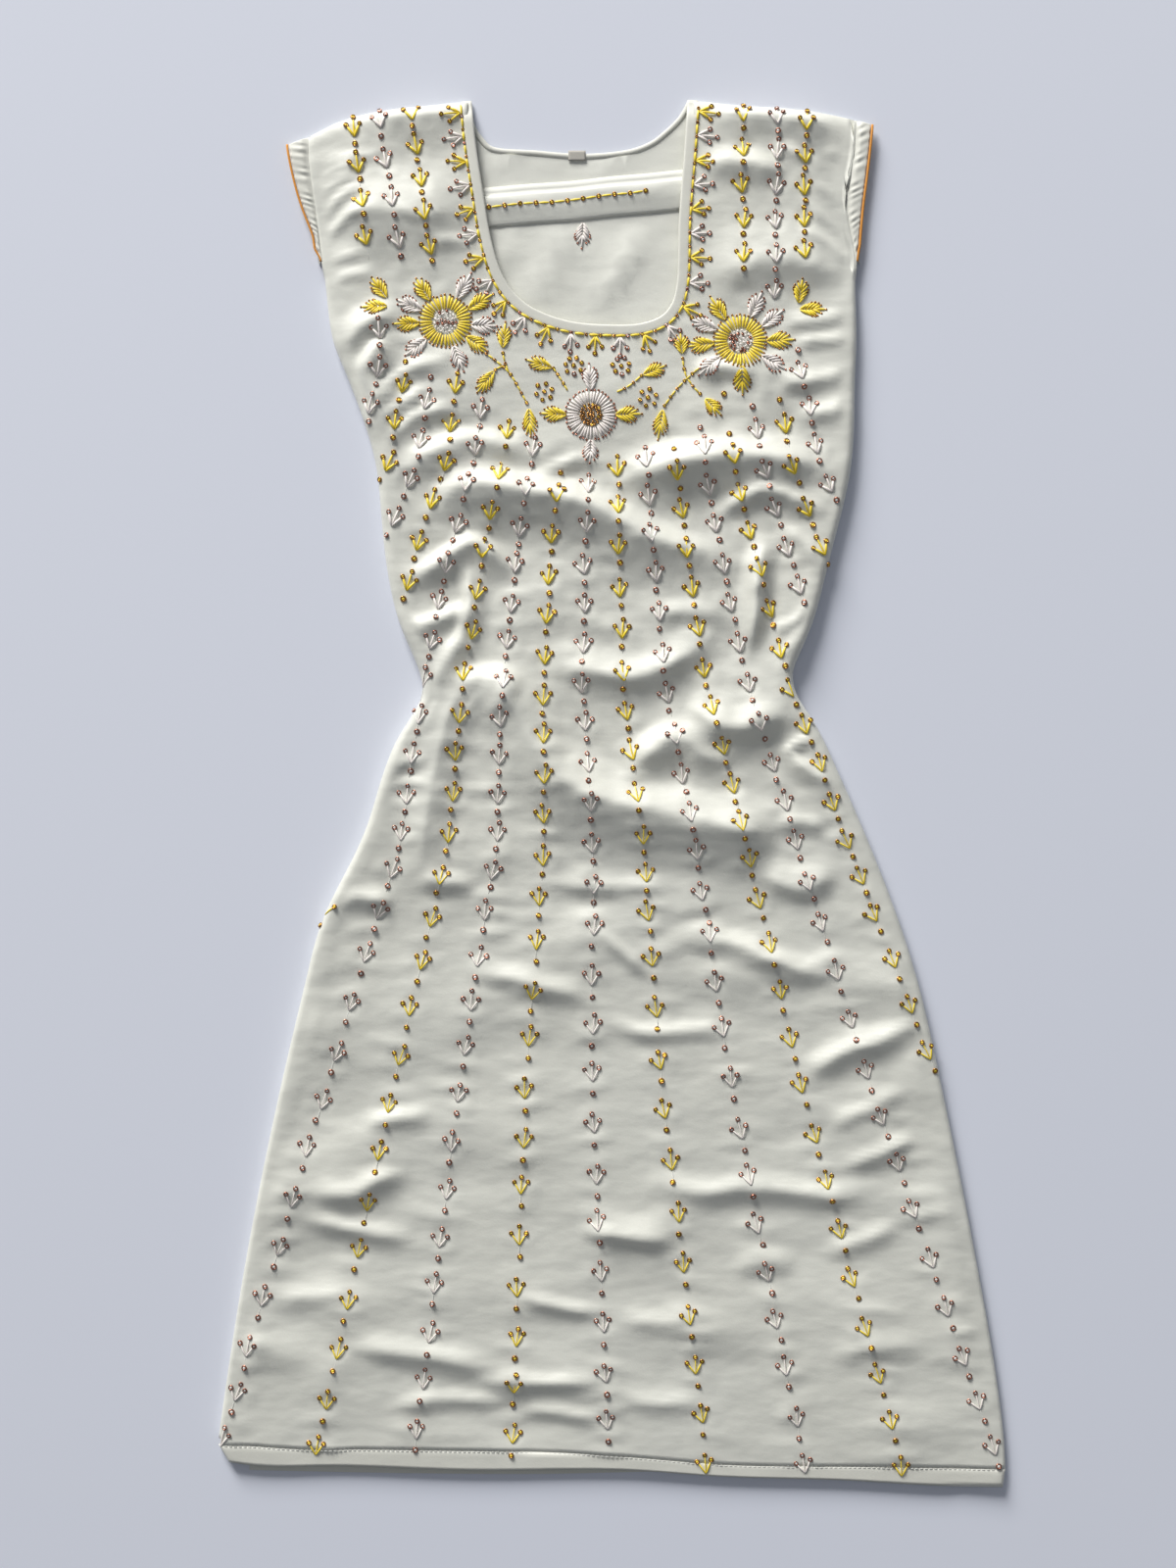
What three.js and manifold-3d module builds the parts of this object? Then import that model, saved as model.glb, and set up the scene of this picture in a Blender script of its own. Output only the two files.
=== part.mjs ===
// An embroidered kurta with cut-on cap sleeves, laid flat on its back with the front up.
//
// Millimetres. +Y runs from the hem to the neck, +X to the right as seen from above, +Z up.
// The table of heights starts at the surface that the garment lies on, z = 0. The pattern tables
// are in the pattern's own X and Y; the group at the end moves the pattern's middle to the origin.

import * as THREE from "three";
import { mergeVertices } from "three/addons/utils/BufferGeometryUtils.js";
import Module from "manifold-3d";

const wasm = await Module();
wasm.setup();

// ---- Driving dimensions ----------------------------------------------------------------------

const patternMiddle = { x: 0.4, y: -2.2 };   // middle of the laid garment in pattern coordinates

const cloth = 1.2;            // wall of one layer of cloth
const hemCloth = 1.8;         // wall of a turned hem, two layers pressed
const seam = 0.3;             // gap between pieces that are sewn to each other

const shoulderFall = 9;       // the front bends down to the shoulder seam over this length
const shoulderTop = 2.1;      // height of the front's outer face at the shoulder seam
const lowestTop = 4.2;        // the front's outer face is nowhere lower than this inside its edges
const sideBlend = 38;         // width over which the rolled side passes into the lying cloth

const sleeveEnd = 362;        // Y below which a side turns under, above it lies the sleeve opening
const sleeveTwist = 16;       // length over which the side turns from lying open to turned under
const openEdgeTurn = 20;      // degrees that the edge bends down along the sleeve opening
const openEdgeFlap = 1.6;     // straight length after that bend

const hemLeft = -448;         // Y of the hem's stitch line at the left side
const hemRight = -469;        // Y of the hem's stitch line at the right side
const shoulderLeft = 453;     // Y of the shoulder line at the left sleeve's stitch line
const shoulderRight = 464.6;  // Y of the shoulder line at the right sleeve's stitch line

const frontBandWidth = 6;     // turned band round the front neck
const frontBandWall = 1.5;
const backBandWidth = 3.4;    // rolled band round the back neck
const backBandWall = 1.6;
const labelSize = { x: 12, y: 7, z: 0.6 };
const labelPlace = { x: -22.6, y: 440.2 };

const pipingRadius = 0.85;    // corded edging round each sleeve opening
const cuffEnd = 367;          // Y where each sleeve band ends under the arm
const cuffGathers = { count: 15, depth: 0.7 };

const mainColumns = 25;       // points across the top of the front
const rollSteps = 4;          // steps round each rolled side
const rowPitches = [          // rows down the front: finer by the shoulder, then to `until`
  { until: 1.5, pitch: 1.5 },
  { until: 4, pitch: 2.5 },
  { until: 9, pitch: 5 },
  { until: 225, pitch: 9 },
  { until: 901, pitch: 16.1 },
];

// Where the garment's sides show from above.
const sides = [
  { y: 462, left: -209, right: 171.5 },
  { y: 440, left: -209, right: 170 },
  { y: 425, left: -207.5, right: 166.5 },
  { y: 402, left: -204, right: 165 },
  { y: 386, left: -202, right: 167.5 },
  { y: 370, left: -200, right: 171.5 },
  { y: 352, left: -197, right: 170.5 },
  { y: 309, left: -191, right: 171 },
  { y: 290, left: -183, right: 170 },
  { y: 246, left: -167, right: 169 },
  { y: 222, left: -161, right: 167 },
  { y: 190, left: -158, right: 160 },
  { y: 160, left: -155, right: 152 },
  { y: 120, left: -147, right: 142 },
  { y: 100, left: -139, right: 134 },
  { y: 82, left: -131, right: 125.5 },
  { y: 70, left: -127.5, right: 126 },
  { y: 58, left: -132, right: 135 },
  { y: 44, left: -143, right: 144 },
  { y: 20, left: -154, right: 155 },
  { y: -30, left: -170, right: 177 },
  { y: -92, left: -200, right: 201 },
  { y: -134, left: -211, right: 214 },
  { y: -224, left: -232, right: 234 },
  { y: -325, left: -252, right: 254 },
  { y: -420, left: -267, right: 270 },
  { y: -470, left: -273.4, right: 274.2 },
  { y: -485, left: -274, right: 272 },
];

// Heights of the front's outer face down the garment: `loft` in the middle, `edge` over the
// rolled sides, and `under`, how far each side is turned under from its edge.
const heights = [
  { y: 480, loft: 6.6, edge: 5.6, under: 14 },
  { y: 425, loft: 8.4, edge: 5.8, under: 14 },
  { y: 380, loft: 8.4, edge: 6.4, under: 14 },
  { y: 338, loft: 7.6, edge: 8, under: 16 },
  { y: 250, loft: 7.6, edge: 10.5, under: 22 },
  { y: 160, loft: 8.4, edge: 12, under: 24 },
  { y: 78, loft: 9, edge: 13.5, under: 26 },
  { y: -60, loft: 6.6, edge: 10, under: 34 },
  { y: -300, loft: 5.2, edge: 7, under: 34 },
  { y: -420, loft: 4.8, edge: 6, under: 24 },
  { y: -485, loft: 4.4, edge: 5.4, under: 14 },
];

const shoulders = [
  { x: -223, y: 448 },
  { x: -209, y: 453 },
  { x: -187, y: 464 },
  { x: -153, y: 472 },
  { x: -118, y: 475.6 },
  { x: -97, y: 478 },
  { x: 54.4, y: 478.7 },
  { x: 89, y: 475 },
  { x: 133, y: 472 },
  { x: 171.5, y: 464.6 },
  { x: 183, y: 461.4 },
];

// Stitch line of the hem and the garment's lowest edge, front and back.
const hemStitch = [
  { x: -270, y: -448 },
  { x: -251, y: -453 },
  { x: -154, y: -456 },
  { x: -15, y: -459 },
  { x: 35, y: -463 },
  { x: 77, y: -466.5 },
  { x: 184, y: -468 },
  { x: 274, y: -469.5 },
];
const hemFront = [
  { x: -273.4, y: -460.4 },
  { x: -249, y: -467.5 },
  { x: -192, y: -467 },
  { x: -97, y: -470.6 },
  { x: 12, y: -470 },
  { x: 75, y: -474.6 },
  { x: 165, y: -477.2 },
  { x: 208, y: -480 },
  { x: 272, y: -483 },
];
const hemBack = [
  { x: -262, y: -470.6 },
  { x: -182, y: -472.4 },
  { x: -120, y: -473.4 },
  { x: -40, y: -473.6 },
  { x: 40, y: -472 },
  { x: 120, y: -473.5 },
  { x: 262, y: -478 },
];

const frontNeck = [
  [-96, 478], [-93, 448], [-88, 415], [-82, 380], [-73, 354], [-57, 336], [-30, 325], [0, 322],
  [24, 323.5], [40, 332], [47, 352], [48.5, 397], [52, 442], [54.4, 478.7],
];
const backNeck = [
  [-96, 478], [-94, 463], [-88, 453], [-79, 446], [-52, 444], [-20, 441.6], [10, 444],
  [27, 449.5], [38, 457.5], [48, 467.5], [54.4, 478.7],
];

// Outer edge of each sleeve, from the shoulder to the underarm.
const leftSleeveEdge = [
  { y: 447.6, x: -224.4 },
  { y: 434.5, x: -222 },
  { y: 417.5, x: -218 },
  { y: 403, x: -213.5 },
  { y: 389, x: -208 },
  { y: 376, x: -203.4 },
  { y: 365, x: -201 },
];
const rightSleeveEdge = [
  { y: 461.4, x: 183 },
  { y: 442, x: 181 },
  { y: 425, x: 179 },
  { y: 407.6, x: 176.7 },
  { y: 390, x: 175 },
  { y: 372, x: 173.6 },
  { y: 365, x: 173.2 },
];

// A fold runs from `from` through `via` to `to`. `leftWidth` and `rightWidth` are the reach of its
// two slopes, as seen when walking along it. A negative rise is a hollow.
const folds = [
  // bust and waist, across
  { from: [-150, 166], via: [-60, 200], to: [92, 148], rise: 8, leftWidth: 16, rightWidth: 26 },
  { from: [12, 220], via: [100, 256], to: [165, 222], rise: 8, leftWidth: 20, rightWidth: 28 },
  { from: [77, 178], via: [121, 195], to: [156, 185], rise: 6, leftWidth: 10, rightWidth: 14 },
  { from: [121, 188], via: [102, 134], to: [82, 49], rise: 6, leftWidth: 14, rightWidth: 24 },
  { from: [-50, 80], via: [19, 86], to: [86, 119], rise: 5, leftWidth: 18, rightWidth: 16 },
  { from: [19, 12], via: [50, 44], to: [101, 67], rise: 7, leftWidth: 16, rightWidth: 20 },
  { from: [-91, 93], via: [-42, 13], to: [121, -35], rise: 9, leftWidth: 18, rightWidth: 26 },
  // left waist
  { from: [-152, 139], via: [-120, 146], to: [-94, 161], rise: 5, leftWidth: 9, rightWidth: 12 },
  { from: [-143, 103], via: [-120, 114], to: [-98, 130], rise: 5, leftWidth: 9, rightWidth: 12 },
  { from: [-95, 158], via: [-98, 114], to: [-122, 63], rise: 5, leftWidth: 14, rightWidth: 9 },
  { from: [-116, 58], via: [-93, 25], to: [-66, -19], rise: -4, leftWidth: 20, rightWidth: 20 },
  { from: [-129, 58], via: [-151, 12], to: [-170, -36], rise: 4, leftWidth: 14, rightWidth: 10 },
  { from: [-185, -53], via: [-154, -51], to: [-124, -43], rise: 4, leftWidth: 12, rightWidth: 16 },
  // skirt
  { from: [34, -105], via: [87, -101], to: [158, -123], rise: 4, leftWidth: 16, rightWidth: 16 },
  { from: [-95, -121], via: [-52, -126], to: [-8, -139], rise: 3, leftWidth: 16, rightWidth: 16 },
  { from: [-129, -80], via: [-141, -131], to: [-152, -189], rise: -2, leftWidth: 18, rightWidth: 18 },
  { from: [-199, -240], via: [-175, -233], to: [-151, -243], rise: 3, leftWidth: 18, rightWidth: 14 },
  { from: [53, -277], via: [121, -269], to: [192, -260], rise: 4, leftWidth: 16, rightWidth: 18 },
  { from: [-5, -309], via: [22, -309], to: [53, -301], rise: 3, leftWidth: 16, rightWidth: 14 },
  { from: [145, -173], via: [179, -162], to: [213, -148], rise: 4, leftWidth: 14, rightWidth: 16 },
  { from: [162, -243], via: [189, -232], to: [220, -216], rise: 4, leftWidth: 14, rightWidth: 16 },
  { from: [-253, -294], via: [-199, -298], to: [-137, -309], rise: 3, leftWidth: 16, rightWidth: 16 },
  { from: [-137, -400], via: [-69, -411], to: [-1, -422], rise: 3, leftWidth: 18, rightWidth: 16 },
  { from: [-219, -393], via: [-178, -395], to: [-134, -388], rise: 3, leftWidth: 16, rightWidth: 14 },
  // shoulders, chest and underarms
  { from: [-178, 403], via: [-137, 413], to: [-100, 408], rise: 4, leftWidth: 16, rightWidth: 26 },
  { from: [-188, 303], via: [-158, 328], to: [-124, 333], rise: 5, leftWidth: 12, rightWidth: 12 },
  { from: [-150, 319], via: [-170, 287], to: [-167, 244], rise: 5, leftWidth: 30, rightWidth: 9 },
  { from: [-156, 226], via: [-131, 263], to: [-90, 297], rise: 4, leftWidth: 14, rightWidth: 20 },
  { from: [-161, 263], via: [-141, 287], to: [-114, 301], rise: 3, leftWidth: 10, rightWidth: 10 },
  { from: [70, 352], via: [114, 386], to: [155, 416], rise: 4, leftWidth: 18, rightWidth: 16 },
  { from: [63, 430], via: [97, 433], to: [128, 447], rise: 2.5, leftWidth: 12, rightWidth: 16 },
];

// Small gathers that run in from the right side under the sleeve.
const sideGathers = { count: 6, top: 358, pitch: 19, from: 167, to: 121, rise: 2.2, width: 7.5 };
for (let i = 0; i < sideGathers.count; i += 1) {
  const y = sideGathers.top - i * sideGathers.pitch;
  folds.push({
    from: [sideGathers.to, y - 3],
    via: [(sideGathers.from + sideGathers.to) / 2, y + 1],
    to: [sideGathers.from, y],
    rise: sideGathers.rise,
    leftWidth: sideGathers.width,
    rightWidth: sideGathers.width,
  });
}

// The tuck folded across the inside of the back: its folded edge hangs towards the hem.
const tuck = { left: -120, right: 78, yLeft: 388, yRight: 405.5, depth: 20, step: 6, wall: 1.1, gap: 0.4 };

// A raised flower is a bead-filled heart, a ring of close stitches and leaves round it.
const flowerForm = {
  sectors: 40, heart: 7, ring: 19, notch: 21, reach: 33,
  heartRise: 1.9, ringRise: 1.4, leafRise: 0.9, clearance: 0.35, probe: 5,
};
const flowers = [
  { name: "left_flower", x: -113.6, y: 324.4, scale: 1, leaves: 8, colour: 0xdfc233 },
  { name: "centre_flower", x: -12.9, y: 259.8, scale: 0.95, leaves: 4, colour: 0xe9dcd6 },
  { name: "right_flower", x: 90.4, y: 310.8, scale: 1, leaves: 8, colour: 0xdfc233 },
];

// ---- Reading the tables ----------------------------------------------------------------------

const lerp = THREE.MathUtils.lerp;
const smoothstep = THREE.MathUtils.smoothstep;

// The value of `column` where `key` is `at`, on a smooth line through the rows of a table.
function read(rows, key, column, at) {
  const rising = rows[rows.length - 1][key] > rows[0][key];
  const after = rows.findIndex((row) => (rising ? row[key] > at : row[key] < at));
  if (after === 0) {
    return rows[0][column];
  }
  if (after < 0) {
    return rows[rows.length - 1][column];
  }
  const slope = (i) => (rows[i + 1][column] - rows[i][column]) / (rows[i + 1][key] - rows[i][key]);
  const i = after - 1;
  const span = rows[after][key] - rows[i][key];
  const start = i > 0 ? (slope(i - 1) + slope(i)) / 2 : slope(i);
  const end = after < rows.length - 1 ? (slope(i) + slope(after)) / 2 : slope(i);
  const t = (at - rows[i][key]) / span;
  const fromStart = (2 * t ** 3 - 3 * t ** 2 + 1) * rows[i][column] + (t ** 3 - 2 * t ** 2 + t) * span * start;
  const fromEnd = (3 * t ** 2 - 2 * t ** 3) * rows[after][column] + (t ** 3 - t ** 2) * span * end;
  return fromStart + fromEnd;
}

const sideAt = (side, y) => read(sides, "y", side, y);
const shoulderAt = (x) => read(shoulders, "x", "y", x);
const underAt = (y) => read(heights, "y", "under", y);

// A fold as points along its crest, with its taper at each: full in the middle, nothing at the ends.
const crestSteps = 12;
const crests = folds.map((fold) => {
  const [from, via, to] = [fold.from, fold.via, fold.to].map(([x, y]) => new THREE.Vector2(x, y));
  const control = via.clone().multiplyScalar(2).sub(from.clone().add(to).multiplyScalar(0.5));
  const curve = new THREE.QuadraticBezierCurve(from, control, to);
  return { ...fold, points: curve.getPoints(crestSteps) };
});

// Rise of one fold over the lying cloth at a place.
function riseOf(crest, x, y) {
  let nearest = Infinity;
  let side = 1;
  let along = 0;
  for (let i = 0; i < crestSteps; i += 1) {
    const a = crest.points[i];
    const b = crest.points[i + 1];
    const run = { x: b.x - a.x, y: b.y - a.y };
    const t = ((x - a.x) * run.x + (y - a.y) * run.y) / (run.x ** 2 + run.y ** 2);
    const held = THREE.MathUtils.clamp(t, 0, 1);
    const away = Math.hypot(x - a.x - held * run.x, y - a.y - held * run.y);
    if (away < nearest) {
      nearest = away;
      side = Math.sign(run.x * (y - a.y) - run.y * (x - a.x)) || 1;
      along = (i + held) / crestSteps;
    }
  }
  const width = side > 0 ? crest.leftWidth : crest.rightWidth;
  const taper = Math.sin(Math.PI * along) ** 0.7;
  return crest.rise * taper * Math.exp(-((nearest / (width * 0.62)) ** 2));
}

const foldsAt = (x, y) => crests.reduce((sum, crest) => sum + riseOf(crest, x, y), 0);

// Height of the front's outer face at a place, with its folds and its fall to the shoulder seam.
function frontHeight(x, y) {
  const inwards = Math.min(x - sideAt("left", y), sideAt("right", y) - x);
  const inside = smoothstep(inwards, 0, sideBlend);
  const lying = lerp(read(heights, "y", "edge", y), read(heights, "y", "loft", y), inside);
  const full = Math.max(lowestTop, lying + foldsAt(x, y) * lerp(0.5, 1, inside));
  const fall = THREE.MathUtils.clamp((shoulderAt(x) - y) / shoulderFall, 0, 1);
  return lerp(shoulderTop, full, Math.sqrt(1 - (1 - fall) ** 2));
}

// ---- Solids ----------------------------------------------------------------------------------

function geometryOf(vertices, faces) {
  const geometry = new THREE.BufferGeometry();
  geometry.setAttribute("position", new THREE.Float32BufferAttribute(vertices, 3));
  geometry.setIndex(faces);
  return geometry;
}

// A closed wall between two grids of points: `outer` faces up and `inner` lies behind it.
function closeWall(outer, inner) {
  const rows = outer.length;
  const columns = outer[0].length;
  const vertices = [...outer.flat(), ...inner.flat()].flatMap((p) => [p.x, p.y, p.z]);
  const faces = [];
  const quad = (a, b, c, d) => faces.push(a, b, c, a, c, d);
  const front = (r, c) => r * columns + c;
  const back = (r, c) => rows * columns + r * columns + c;
  for (let r = 0; r < rows - 1; r += 1) {
    for (let c = 0; c < columns - 1; c += 1) {
      quad(front(r, c), front(r + 1, c), front(r + 1, c + 1), front(r, c + 1));
      quad(back(r, c), back(r, c + 1), back(r + 1, c + 1), back(r + 1, c));
    }
    quad(front(r + 1, 0), front(r, 0), back(r, 0), back(r + 1, 0));
    quad(front(r, columns - 1), front(r + 1, columns - 1), back(r + 1, columns - 1), back(r, columns - 1));
  }
  for (let c = 0; c < columns - 1; c += 1) {
    quad(front(0, c), front(0, c + 1), back(0, c + 1), back(0, c));
    quad(front(rows - 1, c + 1), front(rows - 1, c), back(rows - 1, c), back(rows - 1, c + 1));
  }
  return geometryOf(vertices, faces);
}

// A wall of even thickness behind a grid of points.
function wallBehind(outer, thickness) {
  const last = { row: outer.length - 1, column: outer[0].length - 1 };
  const inner = outer.map((row, r) => row.map((point, c) => {
    const down = outer[Math.min(r + 1, last.row)][c].clone().sub(outer[Math.max(r - 1, 0)][c]);
    const across = row[Math.min(c + 1, last.column)].clone().sub(row[Math.max(c - 1, 0)]);
    return point.clone().addScaledVector(down.cross(across).normalize(), -thickness);
  }));
  return closeWall(outer, inner);
}

// A wall whose back lies straight under its points, no lower than `floor`.
function wallUnder(outer, thickness, floor) {
  const drop = (p) => new THREE.Vector3(p.x, p.y, Math.max(floor, p.z - thickness));
  return closeWall(outer, outer.map((row) => row.map(drop)));
}

// A flat piece of even thickness with the given outline.
function flatPiece(outline, bottom, thickness) {
  const shape = new THREE.Shape(outline.map(([x, y]) => new THREE.Vector2(x, y)));
  return new THREE.ExtrudeGeometry(shape, { depth: thickness, bevelEnabled: false }).translate(0, 0, bottom);
}

function solidOf(geometry) {
  const bare = geometry.clone();
  bare.deleteAttribute("normal");
  bare.deleteAttribute("uv");
  const merged = mergeVertices(bare, 1e-4);
  return new wasm.Manifold(new wasm.Mesh({
    numProp: 3,
    vertProperties: Float32Array.from(merged.attributes.position.array),
    triVerts: Uint32Array.from(merged.index.array),
  }));
}

function cutAway(geometry, tool) {
  const mesh = solidOf(geometry).subtract(solidOf(tool)).getMesh();
  return geometryOf(Array.from(mesh.vertProperties), Array.from(mesh.triVerts));
}

function piece(name, geometry, colour, roughness) {
  geometry.computeVertexNormals();
  const material = new THREE.MeshStandardMaterial({ color: colour, roughness, metalness: 0 });
  const mesh = new THREE.Mesh(geometry, material);
  mesh.name = name;
  return mesh;
}

// ---- Front, with its rolled and turned sides ---------------------------------------------------

// Rows down the front as shares of its length, shoulder to hem stitch.
const frontRows = (() => {
  const length = shoulderLeft - hemLeft;
  const rows = [0];
  for (const { until, pitch } of rowPitches) {
    const start = rows[rows.length - 1];
    const count = Math.round((until - start) / pitch);
    for (let i = 1; i <= count; i += 1) {
      rows.push(lerp(start, until, i / count));
    }
  }
  return rows.map((down) => down / length);
})();

// The two ends of the front's side, shoulder and hem stitch.
const sideEnds = (side) => (side === "left" ? [shoulderLeft, hemLeft] : [shoulderRight, hemRight]);

// The front's side as it is built, straight from row to row.
function builtSideAt(side, y) {
  const [top, bottom] = sideEnds(side);
  const share = (top - y) / (top - bottom);
  const after = frontRows.findIndex((row) => row > share);
  const i = THREE.MathUtils.clamp(after - 1, 0, frontRows.length - 2);
  const t = (share - frontRows[i]) / (frontRows[i + 1] - frontRows[i]);
  const [above, below] = [frontRows[i], frontRows[i + 1]].map((row) => lerp(top, bottom, row));
  return lerp(sideAt(side, above), sideAt(side, below), t);
}

// How far a side has turned at a height of the garment, in radians: half a turn puts it underneath.
function turnAt(y) {
  const turned = THREE.MathUtils.clamp((sleeveEnd - y) / sleeveTwist, 0, 1);
  return THREE.MathUtils.degToRad(lerp(openEdgeTurn, 180, turned));
}

// The points of one side from the top of its roll to its last edge. `inwards` is +1 on the left
// side and -1 on the right.
function sideTurn(edge, inwards) {
  const turn = turnAt(edge.y);
  const under = turn > Math.PI * 0.999;
  const guess = read(heights, "y", "edge", edge.y) / 2;
  const top = frontHeight(edge.x + inwards * guess, edge.y);
  const radius = top / 2;
  const flap = under ? underAt(edge.y) - radius : openEdgeFlap;
  const reach = turn > Math.PI / 2 ? radius : radius * Math.sin(turn) + flap * Math.cos(turn);
  const centre = edge.x + inwards * reach;
  const droop = under ? 1 : THREE.MathUtils.clamp((top - shoulderTop) / 3.5, 0, 1);
  const points = [];
  for (let i = 0; i <= rollSteps; i += 1) {
    const angle = (turn * i) / rollSteps;
    const x = centre - inwards * radius * Math.sin(angle);
    points.push(new THREE.Vector3(x, edge.y, top - droop * radius * (1 - Math.cos(angle))));
  }
  const end = points[rollSteps].clone();
  end.x -= inwards * flap * Math.cos(turn);
  end.z -= droop * flap * Math.sin(turn);
  points.push(end);
  return { reach, points };
}

// One row across the front. `placeAt` gives the pattern's point at a share of the width.
function acrossFront(placeAt, lift) {
  const left = sideTurn(placeAt(0), 1);
  const right = sideTurn(placeAt(1), -1);
  const width = placeAt(1).x - placeAt(0).x;
  const row = left.points.slice(1).reverse();
  for (let i = 0; i < mainColumns; i += 1) {
    const share = lerp(left.reach / width, 1 - right.reach / width, i / (mainColumns - 1));
    const place = placeAt(share);
    row.push(new THREE.Vector3(place.x, place.y, frontHeight(place.x, place.y) + lift));
  }
  row.push(...right.points.slice(1));
  return row;
}

// The pattern's point at a share `u` of the width and `v` of the length, shoulder to hem stitch.
function frontPlace(u, v) {
  const left = lerp(shoulderLeft, hemLeft, v);
  const right = lerp(shoulderRight, hemRight, v);
  const place = new THREE.Vector2(
    lerp(sideAt("left", left), sideAt("right", right), u),
    lerp(left, right, u),
  );
  const topX = lerp(sideAt("left", shoulderLeft), sideAt("right", shoulderRight), u);
  const bottomX = lerp(sideAt("left", hemLeft), sideAt("right", hemRight), u);
  const topShare = 1 - smoothstep(v, 0, 0.35);
  const bottomShare = smoothstep(v, 0.8, 1);
  place.y += topShare * (shoulderAt(topX) - lerp(shoulderLeft, shoulderRight, u));
  place.y += bottomShare * (read(hemStitch, "x", "y", bottomX) - lerp(hemLeft, hemRight, u));
  return place;
}

// A neck curve as evenly spaced points, moved outwards by `offset`.
function neckLine(points, offset, steps) {
  const curve = new THREE.SplineCurve(points.map(([x, y]) => new THREE.Vector2(x, y)));
  const line = curve.getSpacedPoints(steps);
  return line.map((point, i) => {
    const run = line[Math.min(i + 1, steps)].clone().sub(line[Math.max(i - 1, 0)]).normalize();
    return [point.x + run.y * offset, point.y - run.x * offset];
  });
}

const neckSteps = 52;

function frontPanel() {
  const grid = frontRows.map((v) => acrossFront((u) => frontPlace(u, v), 0));
  const above = 510;
  const line = neckLine(frontNeck, frontBandWidth + seam, neckSteps);
  const hole = [[line[0][0] - 0.5, above], ...line, [line[neckSteps][0] + 0.5, above]];
  return cutAway(wallBehind(grid, cloth), flatPiece(hole, -5, 80));
}

function frontNeckBand() {
  const shares = [1, 0.5, 0];
  const lines = shares.map((share) => neckLine(frontNeck, share * frontBandWidth, neckSteps));
  const lift = [0.2, 0.5, 0.1];
  const grid = lines[0].map((_, i) => lines.map((line, k) => {
    const [x, y] = line[i];
    return new THREE.Vector3(x, y, Math.max(frontHeight(x, y) + lift[k], 3.1));
  }));
  return wallUnder(grid, frontBandWall, backBandWall + seam);
}

function frontHem() {
  const shares = [0.03, 0.3, 1];
  const grid = shares.map((share) => acrossFront((u) => {
    const top = frontPlace(u, 1);
    const bottomX = lerp(hemFront[0].x, hemFront[hemFront.length - 1].x, u);
    return new THREE.Vector2(
      lerp(top.x, bottomX, share),
      lerp(top.y - seam, read(hemFront, "x", "y", bottomX), share),
    );
  }, 0.4));
  return wallBehind(grid, hemCloth);
}

// ---- Back ------------------------------------------------------------------------------------

// The back's edge on one side: along the sleeve's stitch line, then inside the front's turned side.
function backSide(side) {
  const inwards = side === "left" ? 1 : -1;
  const points = frontRows.map((row) => {
    const y = lerp(...sideEnds(side), row);
    const inset = y > cuffEnd ? 0 : inwards * (underAt(y) + seam);
    return [sideAt(side, y) + inset, y];
  });
  const firstUnder = points.findIndex(([, y]) => y <= cuffEnd);
  points.splice(firstUnder, 0, [builtSideAt(side, cuffEnd), cuffEnd]);
  return points;
}

// Points of a table's line between two places, ends included.
function lineBetween(rows, from, to, steps, shift) {
  return Array.from({ length: steps + 1 }, (_, i) => {
    const x = lerp(from, to, i / steps);
    return [x, read(rows, "x", "y", x) + shift];
  });
}

function backPanel() {
  const left = backSide("left");
  const right = backSide("right");
  const neckEdge = backBandWidth + 2 * seam;
  const neck = neckLine(backNeck, backBandWidth + seam, 30).filter(([, y]) => y < 472);
  const [startX, endX] = [backNeck[0][0] - neckEdge, backNeck[backNeck.length - 1][0] + neckEdge];
  const outline = [
    ...left.slice().reverse(),
    ...lineBetween(shoulders, left[0][0] + 6, startX, 8, 0),
    ...neck,
    ...lineBetween(shoulders, endX, right[0][0] - 6, 8, 0),
    ...right,
    ...lineBetween(hemStitch, right[right.length - 1][0], left[left.length - 1][0], 24, 0).slice(1, -1),
  ];
  return flatPiece(outline.reverse(), 0, cloth);
}

function backNeckBand() {
  const outer = neckLine(backNeck, backBandWidth, 30);
  const inner = neckLine(backNeck, 0, 30);
  return flatPiece([...outer, ...inner.reverse()], 0, backBandWall);
}

function backHem() {
  const inset = underAt(hemLeft) + seam;
  const left = hemStitch[0].x + inset;
  const right = hemStitch[hemStitch.length - 1].x - inset;
  const outline = [
    ...lineBetween(hemStitch, left, right, 24, -seam),
    ...lineBetween(hemBack, right, left, 24, 0),
  ];
  return flatPiece(outline.reverse(), 0, cloth);
}

function neckLabel() {
  const { x, y, z } = labelSize;
  return new THREE.BoxGeometry(x, y, z).translate(labelPlace.x, labelPlace.y, backBandWall + seam + z / 2);
}

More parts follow.
